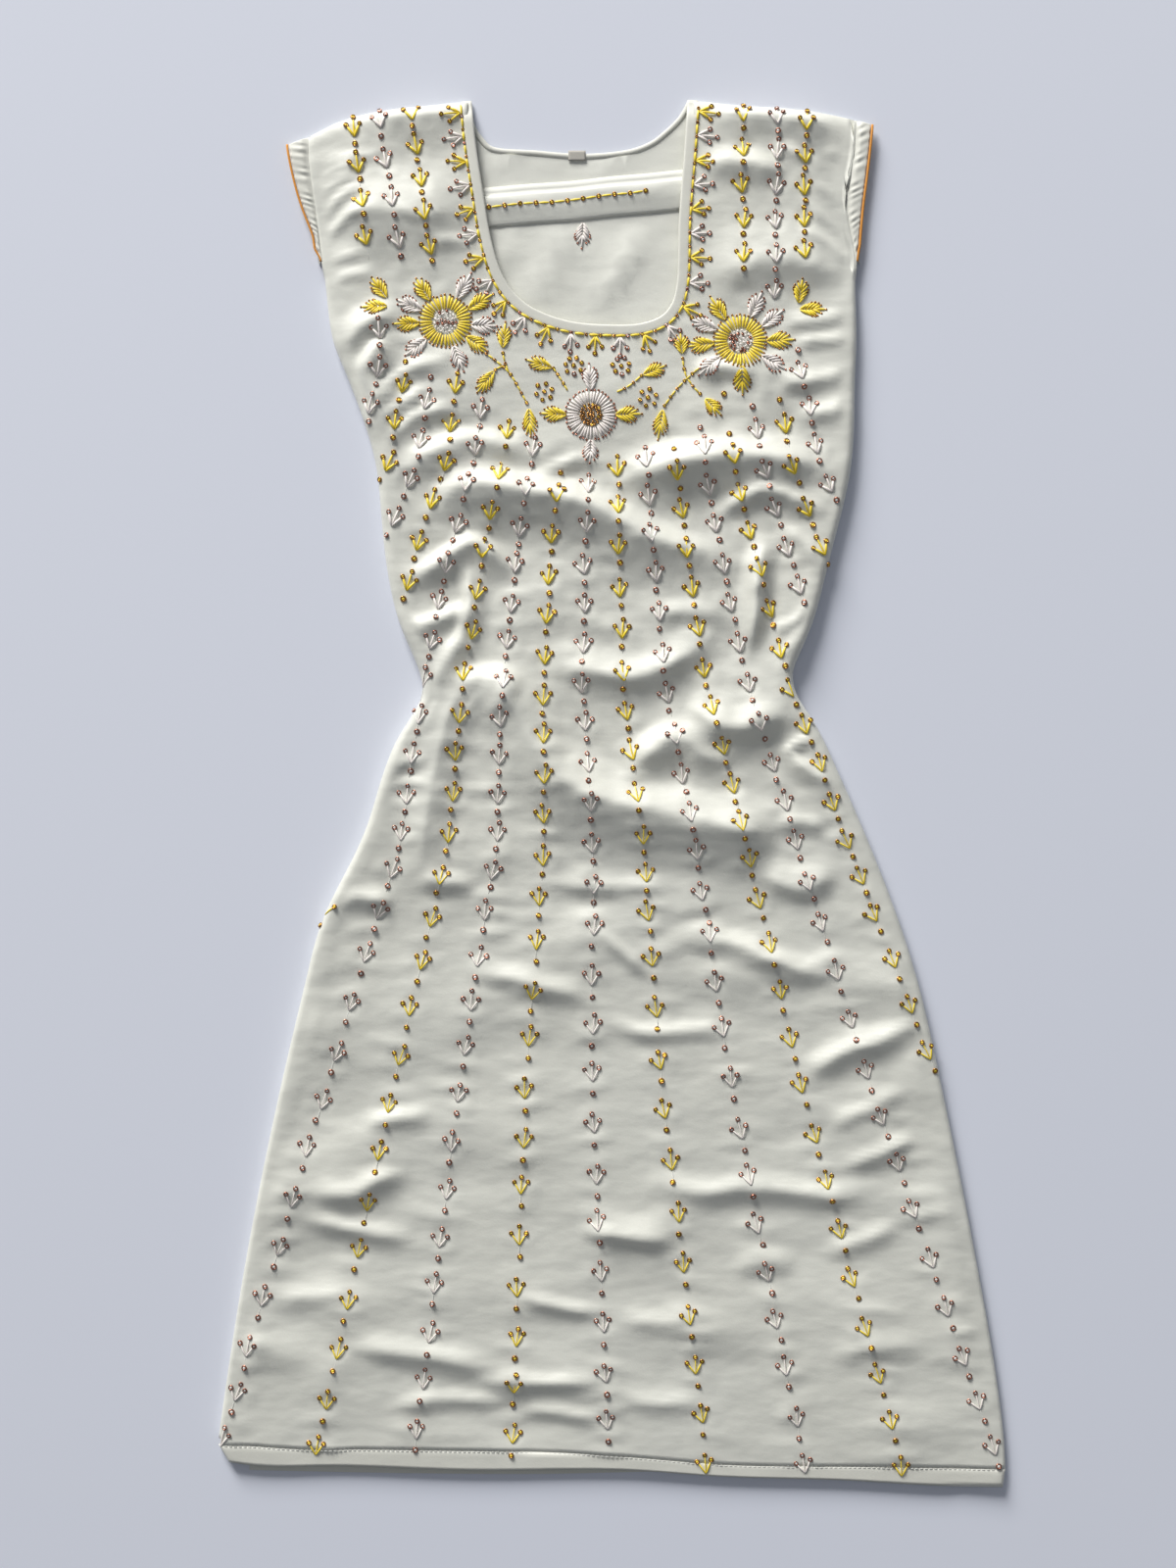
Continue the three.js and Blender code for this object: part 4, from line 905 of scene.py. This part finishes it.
backFolds = [
    fold(3.0, 18, 13, (-12, 330), (2, 350), (14, 370), (28, 392)),
    fold(2.2, 20, 14, (-56, 330), (-44, 352), (-36, 372), (-24, 392)),
    fold(1.6, 12, 12, (-84, 352), (-76, 370), (-66, 390)),
    fold(1.8, 8, 9, (-24, 420), (-4, 430), (18, 444)),
    fold(1.6, 7, 8, (-84, 422), (-74, 436), (-58, 448)),
]
layer = {"top": 1.2, "back": 1.05, "band": 1.15, "rimAngle": 50}
level = lambda x, y: np.full(np.shape(x), layer["band"])


def backHeight(x, y):
    # folds only where the neck shows the inside of the back
    seen = ease((toFrame(0, 480)[1] - y) / 20) * ease((y - 305) / 20) * ease((100 - np.abs(x + 20)) / 20)
    return layer["back"] + foldRise(x, y, backFolds) * seen


def underFront(points):
    # the right side of the back stays inside the front's rolled edge
    low = points[:, 1] < 300
    inner = pattern.sideAt("right", points[:, 1]) - 1.6
    points[:, 0] = np.where(low, np.minimum(points[:, 0], inner), points[:, 0])
    return points


def flatPiece(name, node, material, pitch, thickness, heightAt=level, fit=lambda points: points):
    points, faces = flatTop(node, layer["top"], pitch, heightAt)
    piece = thicken(meshPiece(name, fit(points), faces, material, [node]), thickness)
    rim = piece.modifiers.new("crispRim", "EDGE_SPLIT")
    rim.split_angle = math.radians(layer["rimAngle"])
    return piece


backCloth = flatPiece("backCloth", "back_panel", ivoryInside, pitch=9.0, thickness=1.0,
                      heightAt=backHeight, fit=underFront)
backHem = flatPiece("backHem", "back_hem", ivoryBand, pitch=6.0, thickness=1.1, fit=underFront)
print("back made")

# thin rolled band round the back neck
backBand = {"width": 3.4, "low": 0.35, "rise": 1.5, "thickness": 0.3}


def makeBackBand():
    out = sideOf(backNeckLine)
    profile = []
    for k in range(9):
        angle = math.pi * k / 8
        profile.append((backBand["width"] * (1 - math.cos(angle)) / 2,
                        backBand["low"] + backBand["rise"] * math.sin(angle) ** 0.7))
    grid = [[(x + ox * a, y + oy * a, z) for a, z in profile[::-1]]
            for (x, y), (ox, oy) in zip(backNeckLine, out)]
    gridPiece("backNeckBand", grid, ivoryBand, "back_neck_band", backBand["thickness"], flip=True)


makeBackBand()

# the tuck across the inside of the back: a flap whose folded edge hangs towards the hem
tuck = {
    "left": (-120, 388), "right": (78, 405.5), "steps": 90, "thickness": 0.6,
    "profile": [(26.5, 1.3), (26.0, 2.2), (23.0, 2.5), (20.8, 2.3), (20.4, 3.0), (19.6, 3.8), (18.6, 4.15),
                (16, 4.3), (12.0, 4.0), (8.0, 3.4), (4.0, 2.7), (1.4, 2.3), (0.2, 1.9), (0.0, 1.4)],
}


def makeTuck():
    left, right = np.array(toFrame(*tuck["left"])), np.array(toFrame(*tuck["right"]))
    run = (right - left) / np.linalg.norm(right - left)
    up = np.array([-run[1], run[0]])
    grid = []
    for k in range(tuck["steps"] + 1):
        share = k / tuck["steps"]
        middle = left + (right - left) * share
        wave = 0.35 * math.sin(9.0 * share + 0.6) + 0.2 * math.sin(23 * share)
        row = []
        for away, z in tuck["profile"]:
            x, y = middle + up * (away + wave)
            row.append((x, y, z + (0.25 * math.sin(14 * share + away * 0.3) if z > 3 else 0)))
        grid.append(row)
    piece = gridPiece("backTuck", grid, ivoryInside, "back_tuck", tuck["thickness"])
    points = [Vector(p) for row in grid for p in row]
    return piece, BVHTree.FromPolygons(points, gridFaces(len(grid), len(tuck["profile"])))


backTuck, tuckTree = makeTuck()

# blank tab at the back neck
label = {
    "place": (-22.6, 440.2), "size": (12, 7), "height": 2.3, "thickness": 0.5, "rows": 6, "columns": 10,
    "crown": 0.25, "sag": 0.1,
}


def makeLabel():
    cx, cy = toFrame(*label["place"])
    w, h = label["size"]
    rows, columns = label["rows"], label["columns"]
    grid = np.zeros((rows, columns, 3))
    for r in range(rows):
        for c in range(columns):
            x = cx + w * (c / (columns - 1) - 0.5)
            y = cy + h * (0.5 - r / (rows - 1))
            z = label["height"] + label["crown"] * math.cos(2.2 * (c / (columns - 1) - 0.5))
            grid[r, c] = (x, y, z - label["sag"] * (r / rows))
    gridPiece("neckTab", grid, labelWeave, "neck_label", label["thickness"])


makeLabel()
print("neck inside made")

# sleeve bands: gathered towards the stitch line, with an ochre cord along the edge
cuff = {
    "end": 367, "edgeTop": {"left": 447.6, "right": 461.4}, "edgeEnd": 365, "rows": 150, "columns": 12,
    "gathers": 17, "depth": 0.75, "thickness": 0.6, "slant": 0.09, "round": 0.55, "lowest": 2.2,
}
piping = {"radius": 0.85, "sides": 10, "twist": 0.06}


def sleeveLines(side):
    tree = treeOf(side + "_cuff_front")
    edgingTree = treeOf(side + "_cuff_edging")
    outwards = -1 if side == "left" else 1
    stitch, edge, cord, heights = [], [], [], []
    for k in range(cuff["rows"] + 1):
        t = k / cuff["rows"]
        stitchY = toFrame(0, mix(front["shoulder"][side], cuff["end"], t))[1]
        edgeY = toFrame(0, mix(cuff["edgeTop"][side], cuff["edgeEnd"], t))[1]
        held = max(edgeY, toFrame(0, cuff["edgeEnd"])[1] + 1.5)
        held = min(held, toFrame(0, cuff["edgeTop"][side])[1] - 1.5)
        stitchX = float(pattern.sideAt(side, stitchY))
        start = stitchX + outwards * 0.8
        edgeX = lastHit(tree, (start, held, 0), (stitchX + outwards * 60, held, 0)).x
        cordX = lastHit(edgingTree, (edgeX + outwards * 1.15, held, 0), (edgeX + outwards * 40, held, 0)).x
        stitch.append((stitchX - outwards * 0.6, stitchY))
        edge.append((edgeX, edgeY))
        cord.append((cordX - outwards * piping["radius"], edgeY))
        heights.append(topOf(tree, (stitchX + edgeX) / 2, (stitchY + edgeY) / 2))
    lines = [blur(np.array(line, float), 2.5, 0) for line in (stitch, edge, cord)]
    frontEdge = surface[:, 0 if side == "left" else -1]
    seamX = np.interp(-lines[0][:, 1], -frontEdge[:, 1], frontEdge[:, 0])
    seamZ = np.interp(-lines[0][:, 1], -frontEdge[:, 1], frontEdge[:, 2])
    lines[0][:, 0] = seamX - outwards * 1.0
    close = ease((np.arange(cuff["rows"] + 1) / cuff["rows"] - 0.86) / 0.14)[:, None]
    for k in (1, 2):
        lines[k] = mix(lines[k], lines[0], 0.7 * close)
    return (*lines, blur(filled(heights), 6, 0), seamZ)


def gather(t, at, phase):
    # how the gathers swell, unevenly, along the band
    uneven = 2.6 * math.sin(9 * at) + 1.2 * math.sin(23 * at)
    swell = math.sin(2 * math.pi * cuff["gathers"] * at + phase + uneven)
    return swell * (0.6 + 0.4 * math.sin(31 * t + phase))


def makeSleeve(side):
    stitch, edge, cord, heights, seamZ = sleeveLines(side)
    outwards = -1 if side == "left" else 1
    phase = dice.uniform(0, 6)
    grid = []
    for k in range(cuff["rows"] + 1):
        t = k / cuff["rows"]
        row = []
        for c in range(cuff["columns"]):
            share = c / (cuff["columns"] - 1)
            wave = gather(t, t + cuff["slant"] * share, phase)
            x, y = mix(stitch[k], edge[k], share)
            pull = (1 - share) ** 1.2 * min(1, 4 * (1 - t) + 0.15)
            roundness = cuff["round"] * math.sin(math.pi * share) ** 0.6
            z = heights[k] - 0.35 + roundness
            z += cuff["depth"] * wave * (0.25 + 0.75 * pull) * (0.3 + 0.7 * math.sin(math.pi * share))
            z = mix(seamZ[k] + 0.1, max(z, cuff["lowest"]), float(ease(share / 0.4)))
            row.append((x + outwards * 0.35 * wave * share, y, z))
        grid.append(row if outwards > 0 else row[::-1])
    band = gridPiece(side + "SleeveBand", grid, ivoryBand, side + "_cuff_front", cuff["thickness"])
    flatPiece(side + "SleeveBandBack", side + "_cuff_back", ivoryBand, pitch=4.0, thickness=1.0)
    points, rings = [], range(0, cuff["rows"] + 1, 2)
    for k in rings:
        x, y = cord[k]
        z = max(heights[k] - 0.6, 1.2)
        for s in range(piping["sides"]):
            angle = 2 * math.pi * s / piping["sides"]
            r = piping["radius"] * (1 + piping["twist"] * math.sin(k * 1.9 + s))
            points.append((x - outwards * r * math.cos(angle), y, z + r * math.sin(angle)))
    faces = tubeFaces(len(rings), piping["sides"], flip=outwards < 0)
    meshPiece(side + "SleeveCord", points, faces, ochrePiping, [side + "_cuff_edging"])
    return band


leftSleeve = makeSleeve("left")
rightSleeve = makeSleeve("right")
print("sleeve bands made")


# stitches and beads are gathered in one mesh for each thread and bead colour
class Store:
    def __init__(self):
        self.points, self.faces = [], []

    def add(self, points, faces):
        start = len(self.points)
        self.points.extend(points)
        self.faces.extend(tuple(start + i for i in f) for f in faces)


stitchForm = {
    "rings": [(0.0, 0.3), (0.1, 0.82), (0.5, 1.0), (0.9, 0.82), (1.0, 0.3)], "sides": 8, "ridge": 0.16,
}


def addStitch(store, a, b, normal, width, rise=0.8, taper=1.0):
    a, b = np.array(a, float), np.array(b, float)
    along = b - a
    length = np.linalg.norm(along)
    if length < 0.2:
        return
    along /= length
    side = np.cross(normal, along)
    side /= np.linalg.norm(side) + 1e-9
    up = np.cross(along, side)
    n, points = stitchForm["sides"], []
    for t, share in stitchForm["rings"]:
        centre = a + (b - a) * t + up * (rise * math.sin(math.pi * t) ** 0.6 - 0.1)
        swell = share * mix(1.0, taper, t)
        for k in range(n):
            angle = 2 * math.pi * (k + 0.5) / n
            ridge = 1 - stitchForm["ridge"] * (k % 2)
            points.append(centre + side * (0.5 * width * swell * ridge * math.cos(angle))
                          + up * (0.42 * width * swell * ridge * math.sin(angle)))
    store.add(points, tubeFaces(len(stitchForm["rings"]), n))


# the knot size sets a pale dome in each larger bead's hole: thread knot and painted highlight in one
beadForm = {"around": 14, "section": 6, "tube": 0.29, "height": 1.35, "highlightKnot": 0.56}
smallBead = {"below": 1.3, "around": 8, "section": 5, "tube": 0.42}


def addBead(store, centre, axis, radius):
    # ring bead with its hole along the axis; the larger ones get a pale dome in the hole, partly the thread
    # knot and partly a painted highlight in the bead's centre
    axis = axis / np.linalg.norm(axis)
    first = np.cross(axis, np.array([1.0, 0.2, 0.1]))
    first /= np.linalg.norm(first)
    second = np.cross(axis, first)
    small = radius < smallBead["below"]
    form = smallBead if small else beadForm
    tube = radius * form["tube"]
    ring = radius - tube
    n, m = form["around"], form["section"]
    points, faces = [], []
    for i in range(n):
        a = 2 * math.pi * i / n
        out = first * math.cos(a) + second * math.sin(a)
        for j in range(m):
            b = 2 * math.pi * j / m
            points.append(centre + out * (ring + tube * math.cos(b))
                          + axis * (tube * beadForm["height"] * math.sin(b)))
    for i in range(n):
        for j in range(m):
            a, b = i * m + j, i * m + (j + 1) % m
            c, d = ((i + 1) % n) * m + j, ((i + 1) % n) * m + (j + 1) % m
            faces.append((a, c, d, b))
    store.add(points, faces)
    # painted highlight: the pale dome is yellow thread in gold beads and clear thread in rose ones, so each
    # bead shows a bright centre
    if not small:
        highlightKnot = radius * beadForm["highlightKnot"]
        points, faces = [centre + axis * highlightKnot * 0.7], []
        for share, drop in ((0.6, 0.55), (1.0, 0.1)):
            points += [centre + (first * math.cos(a) + second * math.sin(a)) * highlightKnot * share
                       + axis * highlightKnot * drop for a in np.arange(8) * math.pi / 4]
        for k in range(8):
            faces.append((0, 1 + k, 1 + (k + 1) % 8))
            faces.append((1 + k, 9 + k, 9 + (k + 1) % 8, 1 + (k + 1) % 8))
        (yellowWork if store is goldWork else clearWork).add(points, faces)


yellowWork, pinkWork, clearWork = Store(), Store(), Store()
goldWork, roseWork = Store(), Store()
sprig = {
    "tips": [(0.1, 11.6), (-4.6, 6.9), (3.9, 7.4)], "middle": 4.8, "width": 2.0, "centreWidth": 1.5,
    "tipBead": 1.85, "loneBead": 2.15, "slender": 0.62,
}


def lifted(x, y, rise):
    # a place this far above the finished front and the normal there, or None beside the cloth
    point, normal, *_ = sewnTree.ray_cast(Vector((x, y, 200)), Vector((0, 0, -1)))
    if point is None:
        return None, None
    normal = np.array(normal if normal.z > 0 else -normal)
    return np.array(point) + normal * rise, normal


def leaning(normal):
    return normal + 0.3 * np.array([dice.uniform(-1, 1), dice.uniform(-1, 1), 0])


def works(pink):
    return (pinkWork, roseWork) if pink else (yellowWork, goldWork)


def addSprig(x, y, angle, pink, size=1.0):
    thread, bead = works(pink)
    c, s = math.cos(angle), math.sin(angle)
    wobble = dice.uniform(-0.12, 0.12)
    slim = mix(sprig["slender"], 1, float(ease((y + 60) / 260)))  # the skirt's sprigs are sewn thinner
    base, normal = lifted(x + s * sprig["middle"] * size, y - c * sprig["middle"] * size, 0.35)
    if base is None:
        return
    for k, (tx, ty) in enumerate(sprig["tips"]):
        tx, ty = tx * size * dice.uniform(0.88, 1.12), ty * size * dice.uniform(0.9, 1.1)
        turned = angle + wobble
        dx = tx * math.cos(turned) - ty * math.sin(turned)
        dy = tx * math.sin(turned) + ty * math.cos(turned)
        tip, tipNormal = lifted(base[0] + dx, base[1] + dy, 0.45)
        if tip is None:
            continue
        width = sprig["centreWidth"] if k == 0 else sprig["width"]
        addStitch(thread, base, tip, normal, width * size * slim, rise=0.8 * slim)
        along = (tip - base) / (np.linalg.norm(tip - base) + 1e-9)
        radius = sprig["tipBead"] * size * dice.uniform(0.92, 1.08)
        addBead(bead, tip + along * radius * 0.75 - tipNormal * 0.1, leaning(tipNormal), radius)


def addLoneBead(x, y, pink, radius=sprig["loneBead"]):
    radius *= dice.uniform(0.92, 1.06)
    point, normal = lifted(x, y, 0.4)
    if point is None:
        return
    addBead(works(pink)[1], point, leaning(normal), radius)


def sewAcross(store, start, end, height, width, rise):
    a, normal = lifted(*start, height)
    b, _ = lifted(*end, height)
    if a is not None and b is not None:
        addStitch(store, a, b, normal, width, rise)


def addLink(x, y, angle, length):
    # the fine thread between a sprig's foot and the bead below it
    end = (x + math.sin(angle) * length, y - math.cos(angle) * length)
    sewAcross(clearWork, (x, y), end, 0.15, 0.45, 0.1)


# running stitches and beads round the front neck, with sprigs standing out from them
neckWork = {
    "away": 7.4, "stitch": 6.8, "pitch": 9.7, "width": 1.7, "bead": 1.3, "sprigPitch": 16.5,
    "sprigSize": 0.96, "start": 3.0, "gap": 1.4, "sprigOut": 5.4,
}


def sewNeck():
    line = smoothLine([tuple(p) for p in neckLine + sideOf(neckLine) * neckWork["away"]], 900)
    out = sideOf(line)
    length, at = walkLine(line)
    d = neckWork["start"]
    while d + neckWork["pitch"] < length - 2:
        width = neckWork["width"] * dice.uniform(0.85, 1.1)
        sewAcross(yellowWork, line[at(d)], line[at(d + neckWork["stitch"])], 0.3, width, 0.7)
        k = at(d + neckWork["stitch"] + neckWork["gap"])
        addLoneBead(*line[k], dice.random() < 0.15, neckWork["bead"])
        d += neckWork["pitch"] * dice.uniform(0.95, 1.05)
    count = int(length / neckWork["sprigPitch"])
    for k in range(count):
        i = at((k + 0.5) * length / count)
        x, y = line[i] + out[i] * neckWork["sprigOut"]
        angle = math.atan2(-out[i, 0], out[i, 1])
        addSprig(x, y, angle + dice.uniform(-0.1, 0.1), k % 2 == 1, neckWork["sprigSize"])


sewNeck()
print("neck sewn")

# flowers: a bead heart, a ring of close stitches and leaves of slanted stitches
flowerForm = {
    "heart": 7.6, "ringIn": 8.6, "ringOut": 17.6, "ringStitches": 40, "leafIn": 17.6, "leafLong": 18.5,
    "leafWide": 10.4, "ringWidth": 1.3, "heartRings": [(0.34, 6), (0.68, 12), (0.95, 17)],
    "edgeBead": 0.9, "heartBead": 1.2,
}
flowers = [
    {"x": -113.6, "y": 324.4, "scale": 1.0, "pinkRing": False,
     "leaves": [(126, False), (62, True), (28, False), (-8, True), (-36, False), (-72, True),
                (223, True), (184, False), (154, True)]},
    {"x": -12.9, "y": 259.8, "scale": 0.95, "pinkRing": True,
     "leaves": [(90, True), (0, False), (-90, True), (180, False)]},
    {"x": 90.4, "y": 310.8, "scale": 1.0, "pinkRing": False,
     "leaves": [(125, False), (68, True), (34, True), (0, False), (-36, True), (-88, False),
                (219, True), (184, False), (154, True)]},
]


leafForm = {
    "stitches": 5, "roots": (0.02, 0.52), "tips": (0.34, 0.5), "halves": (0.24, 0.6), "aside": 0.25,
    "wideFrom": 9, "wideStitch": 1.45, "fineStitch": 1.25, "bead": 0.85,
}


def sewLeaf(x, y, angle, length, wide, pink, place=lifted):
    # a leaf from its foot at x, y: stitches slant out of a middle line, each ending in a small bead
    thread, bead = works(pink)
    dx, dy = math.cos(angle), math.sin(angle)
    lines = [(0.5 * length, 0.0, length, 0.0)]
    for k in range(leafForm["stitches"]):
        t = k / (leafForm["stitches"] - 1)
        root, tip, turn = (start + run * t for start, run in
                           (leafForm[key] for key in ("roots", "tips", "halves")))
        half = wide / 2 * math.sin(math.pi * turn) ** 0.8
        for s in (-1, 1):
            lines.append((length * root, leafForm["aside"] * s, length * tip, half * s))
    stitch = leafForm["wideStitch" if wide > leafForm["wideFrom"] else "fineStitch"]
    for rootAt, rootAside, tipAt, aside in lines:
        tipAt *= dice.uniform(0.95, 1.05)
        a, normal = place(x + dx * rootAt - dy * rootAside, y + dy * rootAt + dx * rootAside, 0.45)
        b, endNormal = place(x + dx * tipAt - dy * aside, y + dy * tipAt + dx * aside, 0.3)
        if a is None or b is None:
            continue
        addStitch(thread, a, b, normal, stitch * dice.uniform(0.9, 1.1), rise=0.6, taper=1.25)
        ahead = (b - a) / np.linalg.norm(b - a)
        addBead(bead, b + ahead * 0.7, leaning(endNormal), leafForm["bead"])


def sewFlower(flower):
    form, size = flowerForm, flower["scale"]
    cx, cy = toFrame(flower["x"], flower["y"])
    thread, edgeBead = works(flower["pinkRing"])
    heartBead = works(not flower["pinkRing"])[1]
    for k in range(form["ringStitches"]):
        angle = 2 * math.pi * (k + dice.uniform(-0.15, 0.15)) / form["ringStitches"]
        c, s = math.cos(angle), math.sin(angle)
        inner = form["ringIn"] * size * dice.uniform(0.95, 1.1)
        outer = form["ringOut"] * size * dice.uniform(0.97, 1.03)
        a, normal = lifted(cx + c * inner, cy + s * inner, 0.5)
        b, endNormal = lifted(cx + c * outer, cy + s * outer, 0.3)
        if a is None or b is None:
            continue
        addStitch(thread, a, b, normal, form["ringWidth"] * dice.uniform(0.9, 1.05), rise=0.7, taper=1.6)
        addBead(edgeBead, b + 0.7 * np.array([c, s, 0]), leaning(endNormal), form["edgeBead"])
    heart = [(0.0, 0.0)]
    for ring, number in form["heartRings"]:
        turns = [2 * math.pi * i / number + ring * 5 for i in range(number)]
        heart += [(ring * math.cos(turn), ring * math.sin(turn)) for turn in turns]
    for hx, hy in heart:
        x, y = cx + hx * form["heart"] * size, cy + hy * form["heart"] * size
        rise = 0.7 + 0.5 * (1 - math.hypot(hx, hy))
        point, normal = lifted(x + dice.uniform(-0.3, 0.3), y + dice.uniform(-0.3, 0.3), rise)
        if point is None:
            continue
        tilt = np.array([dice.uniform(-1, 1), dice.uniform(-1, 1), 0.3])
        if flower["pinkRing"] or dice.random() < 0.4:
            addBead(heartBead, point, leaning(normal), form["heartBead"] * dice.uniform(0.9, 1.1))
        else:
            addStitch(pinkWork, point - tilt * 1.2, point + tilt * 1.2 + normal * 0.3, normal, 1.3, rise=0.4)
    for turn, pink in flower["leaves"]:
        angle = math.radians(turn)
        x = cx + math.cos(angle) * form["leafIn"] * size
        y = cy + math.sin(angle) * form["leafIn"] * size
        sewLeaf(x, y, angle + dice.uniform(-0.1, 0.1), form["leafLong"] * size * dice.uniform(0.94, 1.06),
                form["leafWide"] * size * dice.uniform(0.94, 1.08), pink)


for flower in flowers:
    sewFlower(flower)

# vines with leaves between the flowers, leaf pairs at the armholes and rosettes of beads
vines = [
    {"line": [(-90, 305.5), (-79, 297.4), (-69.4, 289), (-61, 275), (-56, 265.5)], "leaf": -86, "long": 20},
    {"line": [(-70, 290), (-73, 298), (-74, 305)], "leaf": 84, "long": 17},
    {"line": [(-74, 293.5), (-77, 292.5), (-79, 291)], "leaf": 232, "long": 19},
    {"line": [(-29, 276.6), (-34.7, 286), (-38.8, 292)], "leaf": 162, "long": 18},
    {"line": [(5, 275.5), (13.3, 279.5), (22, 286.8)], "leaf": 23, "long": 17},
    {"line": [(61.7, 291.7), (53.4, 285), (45, 276), (36.9, 264.6)], "leaf": -99, "long": 20},
    {"line": [(53, 286), (51, 294), (50.3, 301)], "leaf": 95, "long": 14},
    {"line": [(54, 284.5), (59.3, 277.6), (65.2, 271.7)], "leaf": -46, "long": 15},
]
leafPairs = [
    {"feet": [(-154, 340.5), (-153.5, 334.4)], "turns": (126, 181)},
    {"feet": [(130.8, 337), (131.3, 332.6)], "turns": (82, 0)},
]
rosettes = [(-45.2, 276, 7), (-25, 294, 8), (8, 293.5, 8), (26.3, 271.7, 7)]  # x, y, beads
clear = {"sprig": 7, "bead": 3, "flower": 33, "spot": 4.5, "leaf": (6, 12, 18)}


def keepClear(x, y, kind):
    # no sprig or bead of the columns under a flower, vine or leaf
    reach = clear[kind]
    px, py = x + patternMiddle[0], y + patternMiddle[1]
    for flower in flowers:
        if math.hypot(px - flower["x"], py - flower["y"]) < clear["flower"] * flower["scale"] + reach:
            return False
    spots = [p for vine in vines for p in vine["line"]] + [p for pair in leafPairs for p in pair["feet"]]
    spots += [(a, b) for a, b, _ in rosettes]
    for vine in vines:
        (ex, ey), turn = vine["line"][-1], math.radians(vine["leaf"])
        spots += [(ex + far * math.cos(turn), ey + far * math.sin(turn)) for far in clear["leaf"]]
    return all(math.hypot(px - a, py - b) > clear["spot"] + reach for a, b in spots)


def sewColumns():
    for x, y, angle, pink, kind in marks:
        if not keepClear(x, y, kind):
            continue
        if kind == "sprig":
            addSprig(x, y, angle, pink)
            addLink(x + math.sin(angle) * 5, y - math.cos(angle) * 5, angle, 10)
        else:
            addLoneBead(x, y, pink)


sewColumns()
print("columns sewn")

vineForm = {"stitch": 4.6, "pitch": 7.4, "width": 1.25, "gap": 1.2, "bead": 1.35, "leafWide": 9.0}
pairLeaf = {"long": 17, "wide": 9.5}
rosetteForm = {"heart": 1.7, "bead": 1.75, "reach": 5.8, "rose": 0.12}


def sewVines():
    for vine in vines:
        line = smoothLine([toFrame(*p) for p in vine["line"]], 200)
        length, at = walkLine(line)
        d = 0.0
        while d < length - 2.5:
            sewAcross(yellowWork, line[at(d)], line[at(d + vineForm["stitch"])], 0.2, vineForm["width"], 0.5)
            addLoneBead(*line[at(d + vineForm["stitch"] + vineForm["gap"])], False, vineForm["bead"])
            d += vineForm["pitch"]
        x, y = line[-1]
        angle = math.radians(vine["leaf"])
        sewLeaf(x + math.cos(angle), y + math.sin(angle), angle, vine["long"], vineForm["leafWide"], False)
    for pair in leafPairs:
        for foot, turn in zip(pair["feet"], pair["turns"]):
            sewLeaf(*toFrame(*foot), math.radians(turn), pairLeaf["long"], pairLeaf["wide"], False)
    for x, y, count in rosettes:
        x, y = toFrame(x, y)
        addLoneBead(x, y, False, rosetteForm["heart"])
        for k in range(count - 1):
            angle = 2 * math.pi * k / (count - 1) + 0.3
            reach = rosetteForm["reach"] * dice.uniform(0.92, 1.08)
            rose = dice.random() < rosetteForm["rose"]
            addLoneBead(x + reach * math.cos(angle), y + reach * math.sin(angle), rose, rosetteForm["bead"])


sewVines()
print("flowers and vines sewn")

# beaded line on the tuck, and one leaf below it
tuckLine = {
    "line": [(-83.6, 404), (-60, 406.6), (-41, 407.4), (-20.7, 409.7), (-1, 412.5), (18, 414), (25, 415.4)],
    "pitch": 10.2, "bead": 1.85, "width": 1.5,
}
backLeaf = {"foot": (-18.4, 394), "turn": -93, "long": 16.5, "wide": 9.6}


def sewTuck():
    length = tuckLine["line"][-1][0] - tuckLine["line"][0][0]
    up = np.array([0.0, 0.0, 1.0])
    tops = []
    for x, y in smoothLine([toFrame(*p) for p in tuckLine["line"]], int(length / tuckLine["pitch"])):
        z = topOf(tuckTree, x, y) or 4.2
        tops.append(np.array([x, y, z + 0.3]))
    for p, q in zip(tops[:-1], tops[1:]):
        addStitch(yellowWork, p + (q - p) * 0.14, p + (q - p) * 0.86, up, tuckLine["width"], rise=0.5)
    for p in tops:
        addBead(goldWork, p + up * 0.5, leaning(up), tuckLine["bead"])
    backAt = lambda x, y: backHeight(np.array([x]), np.array([y]))[0]
    onBack = lambda x, y, rise: (np.array([x, y, backAt(x, y) + rise]), up)
    sewLeaf(*toFrame(*backLeaf["foot"]), math.radians(backLeaf["turn"]), backLeaf["long"], backLeaf["wide"],
            True, onBack)


sewTuck()

# machine stitches along the hem
hemSewing = {"pitch": 3.3, "stitch": 2.5, "width": 0.55}


def sewHem():
    line = hemGrid[0, rolled:-rolled]
    run = np.concatenate([[0], np.cumsum(np.hypot(*np.diff(line[:, :2], axis=0).T))])
    d = 1.0
    while d + hemSewing["stitch"] < run[-1]:
        p, q = ([np.interp(w, run, line[:, k]) for k in range(3)] for w in (d, d + hemSewing["stitch"]))
        a = np.array(p) + [0, -0.9, 0.35]
        b = np.array(q) + [0, -0.9, 0.35]
        addStitch(clearWork, a, b, np.array([0, 0, 1.0]), hemSewing["width"], rise=0.15)
        d += hemSewing["pitch"]


sewHem()
# the yellow and fine sewing also hold the pale knot domes of the beads, which are partly painted highlights
for name, work, slot, material, nodes in (
        ("yellowSewing", yellowWork, "yellow_thread", yellowThread, ["left_flower", "right_flower"]),
        ("pinkSewing", pinkWork, "pink_thread", pinkThread, ["centre_flower"]),
        ("fineSewing", clearWork, "pink_thread", clearThread, []),
        ("goldBeads", goldWork, "gold_bead", goldBead, []),
        ("roseBeads", roseWork, "rose_bead", roseBead, [])):
    obj = meshPiece(name, work.points, work.faces, material, nodes)
    print(name, sum(len(p.vertices) - 2 for p in obj.data.polygons), "triangles")


def meshArea(obj):
    return sum(p.area for p in obj.data.polygons)


for obj in (frontCloth, backCloth, frontHem, backHem, frontNeckBand, backTuck, leftSleeve, rightSleeve):
    print("area", obj.name, round(meshArea(obj), 4))

print("finishing")
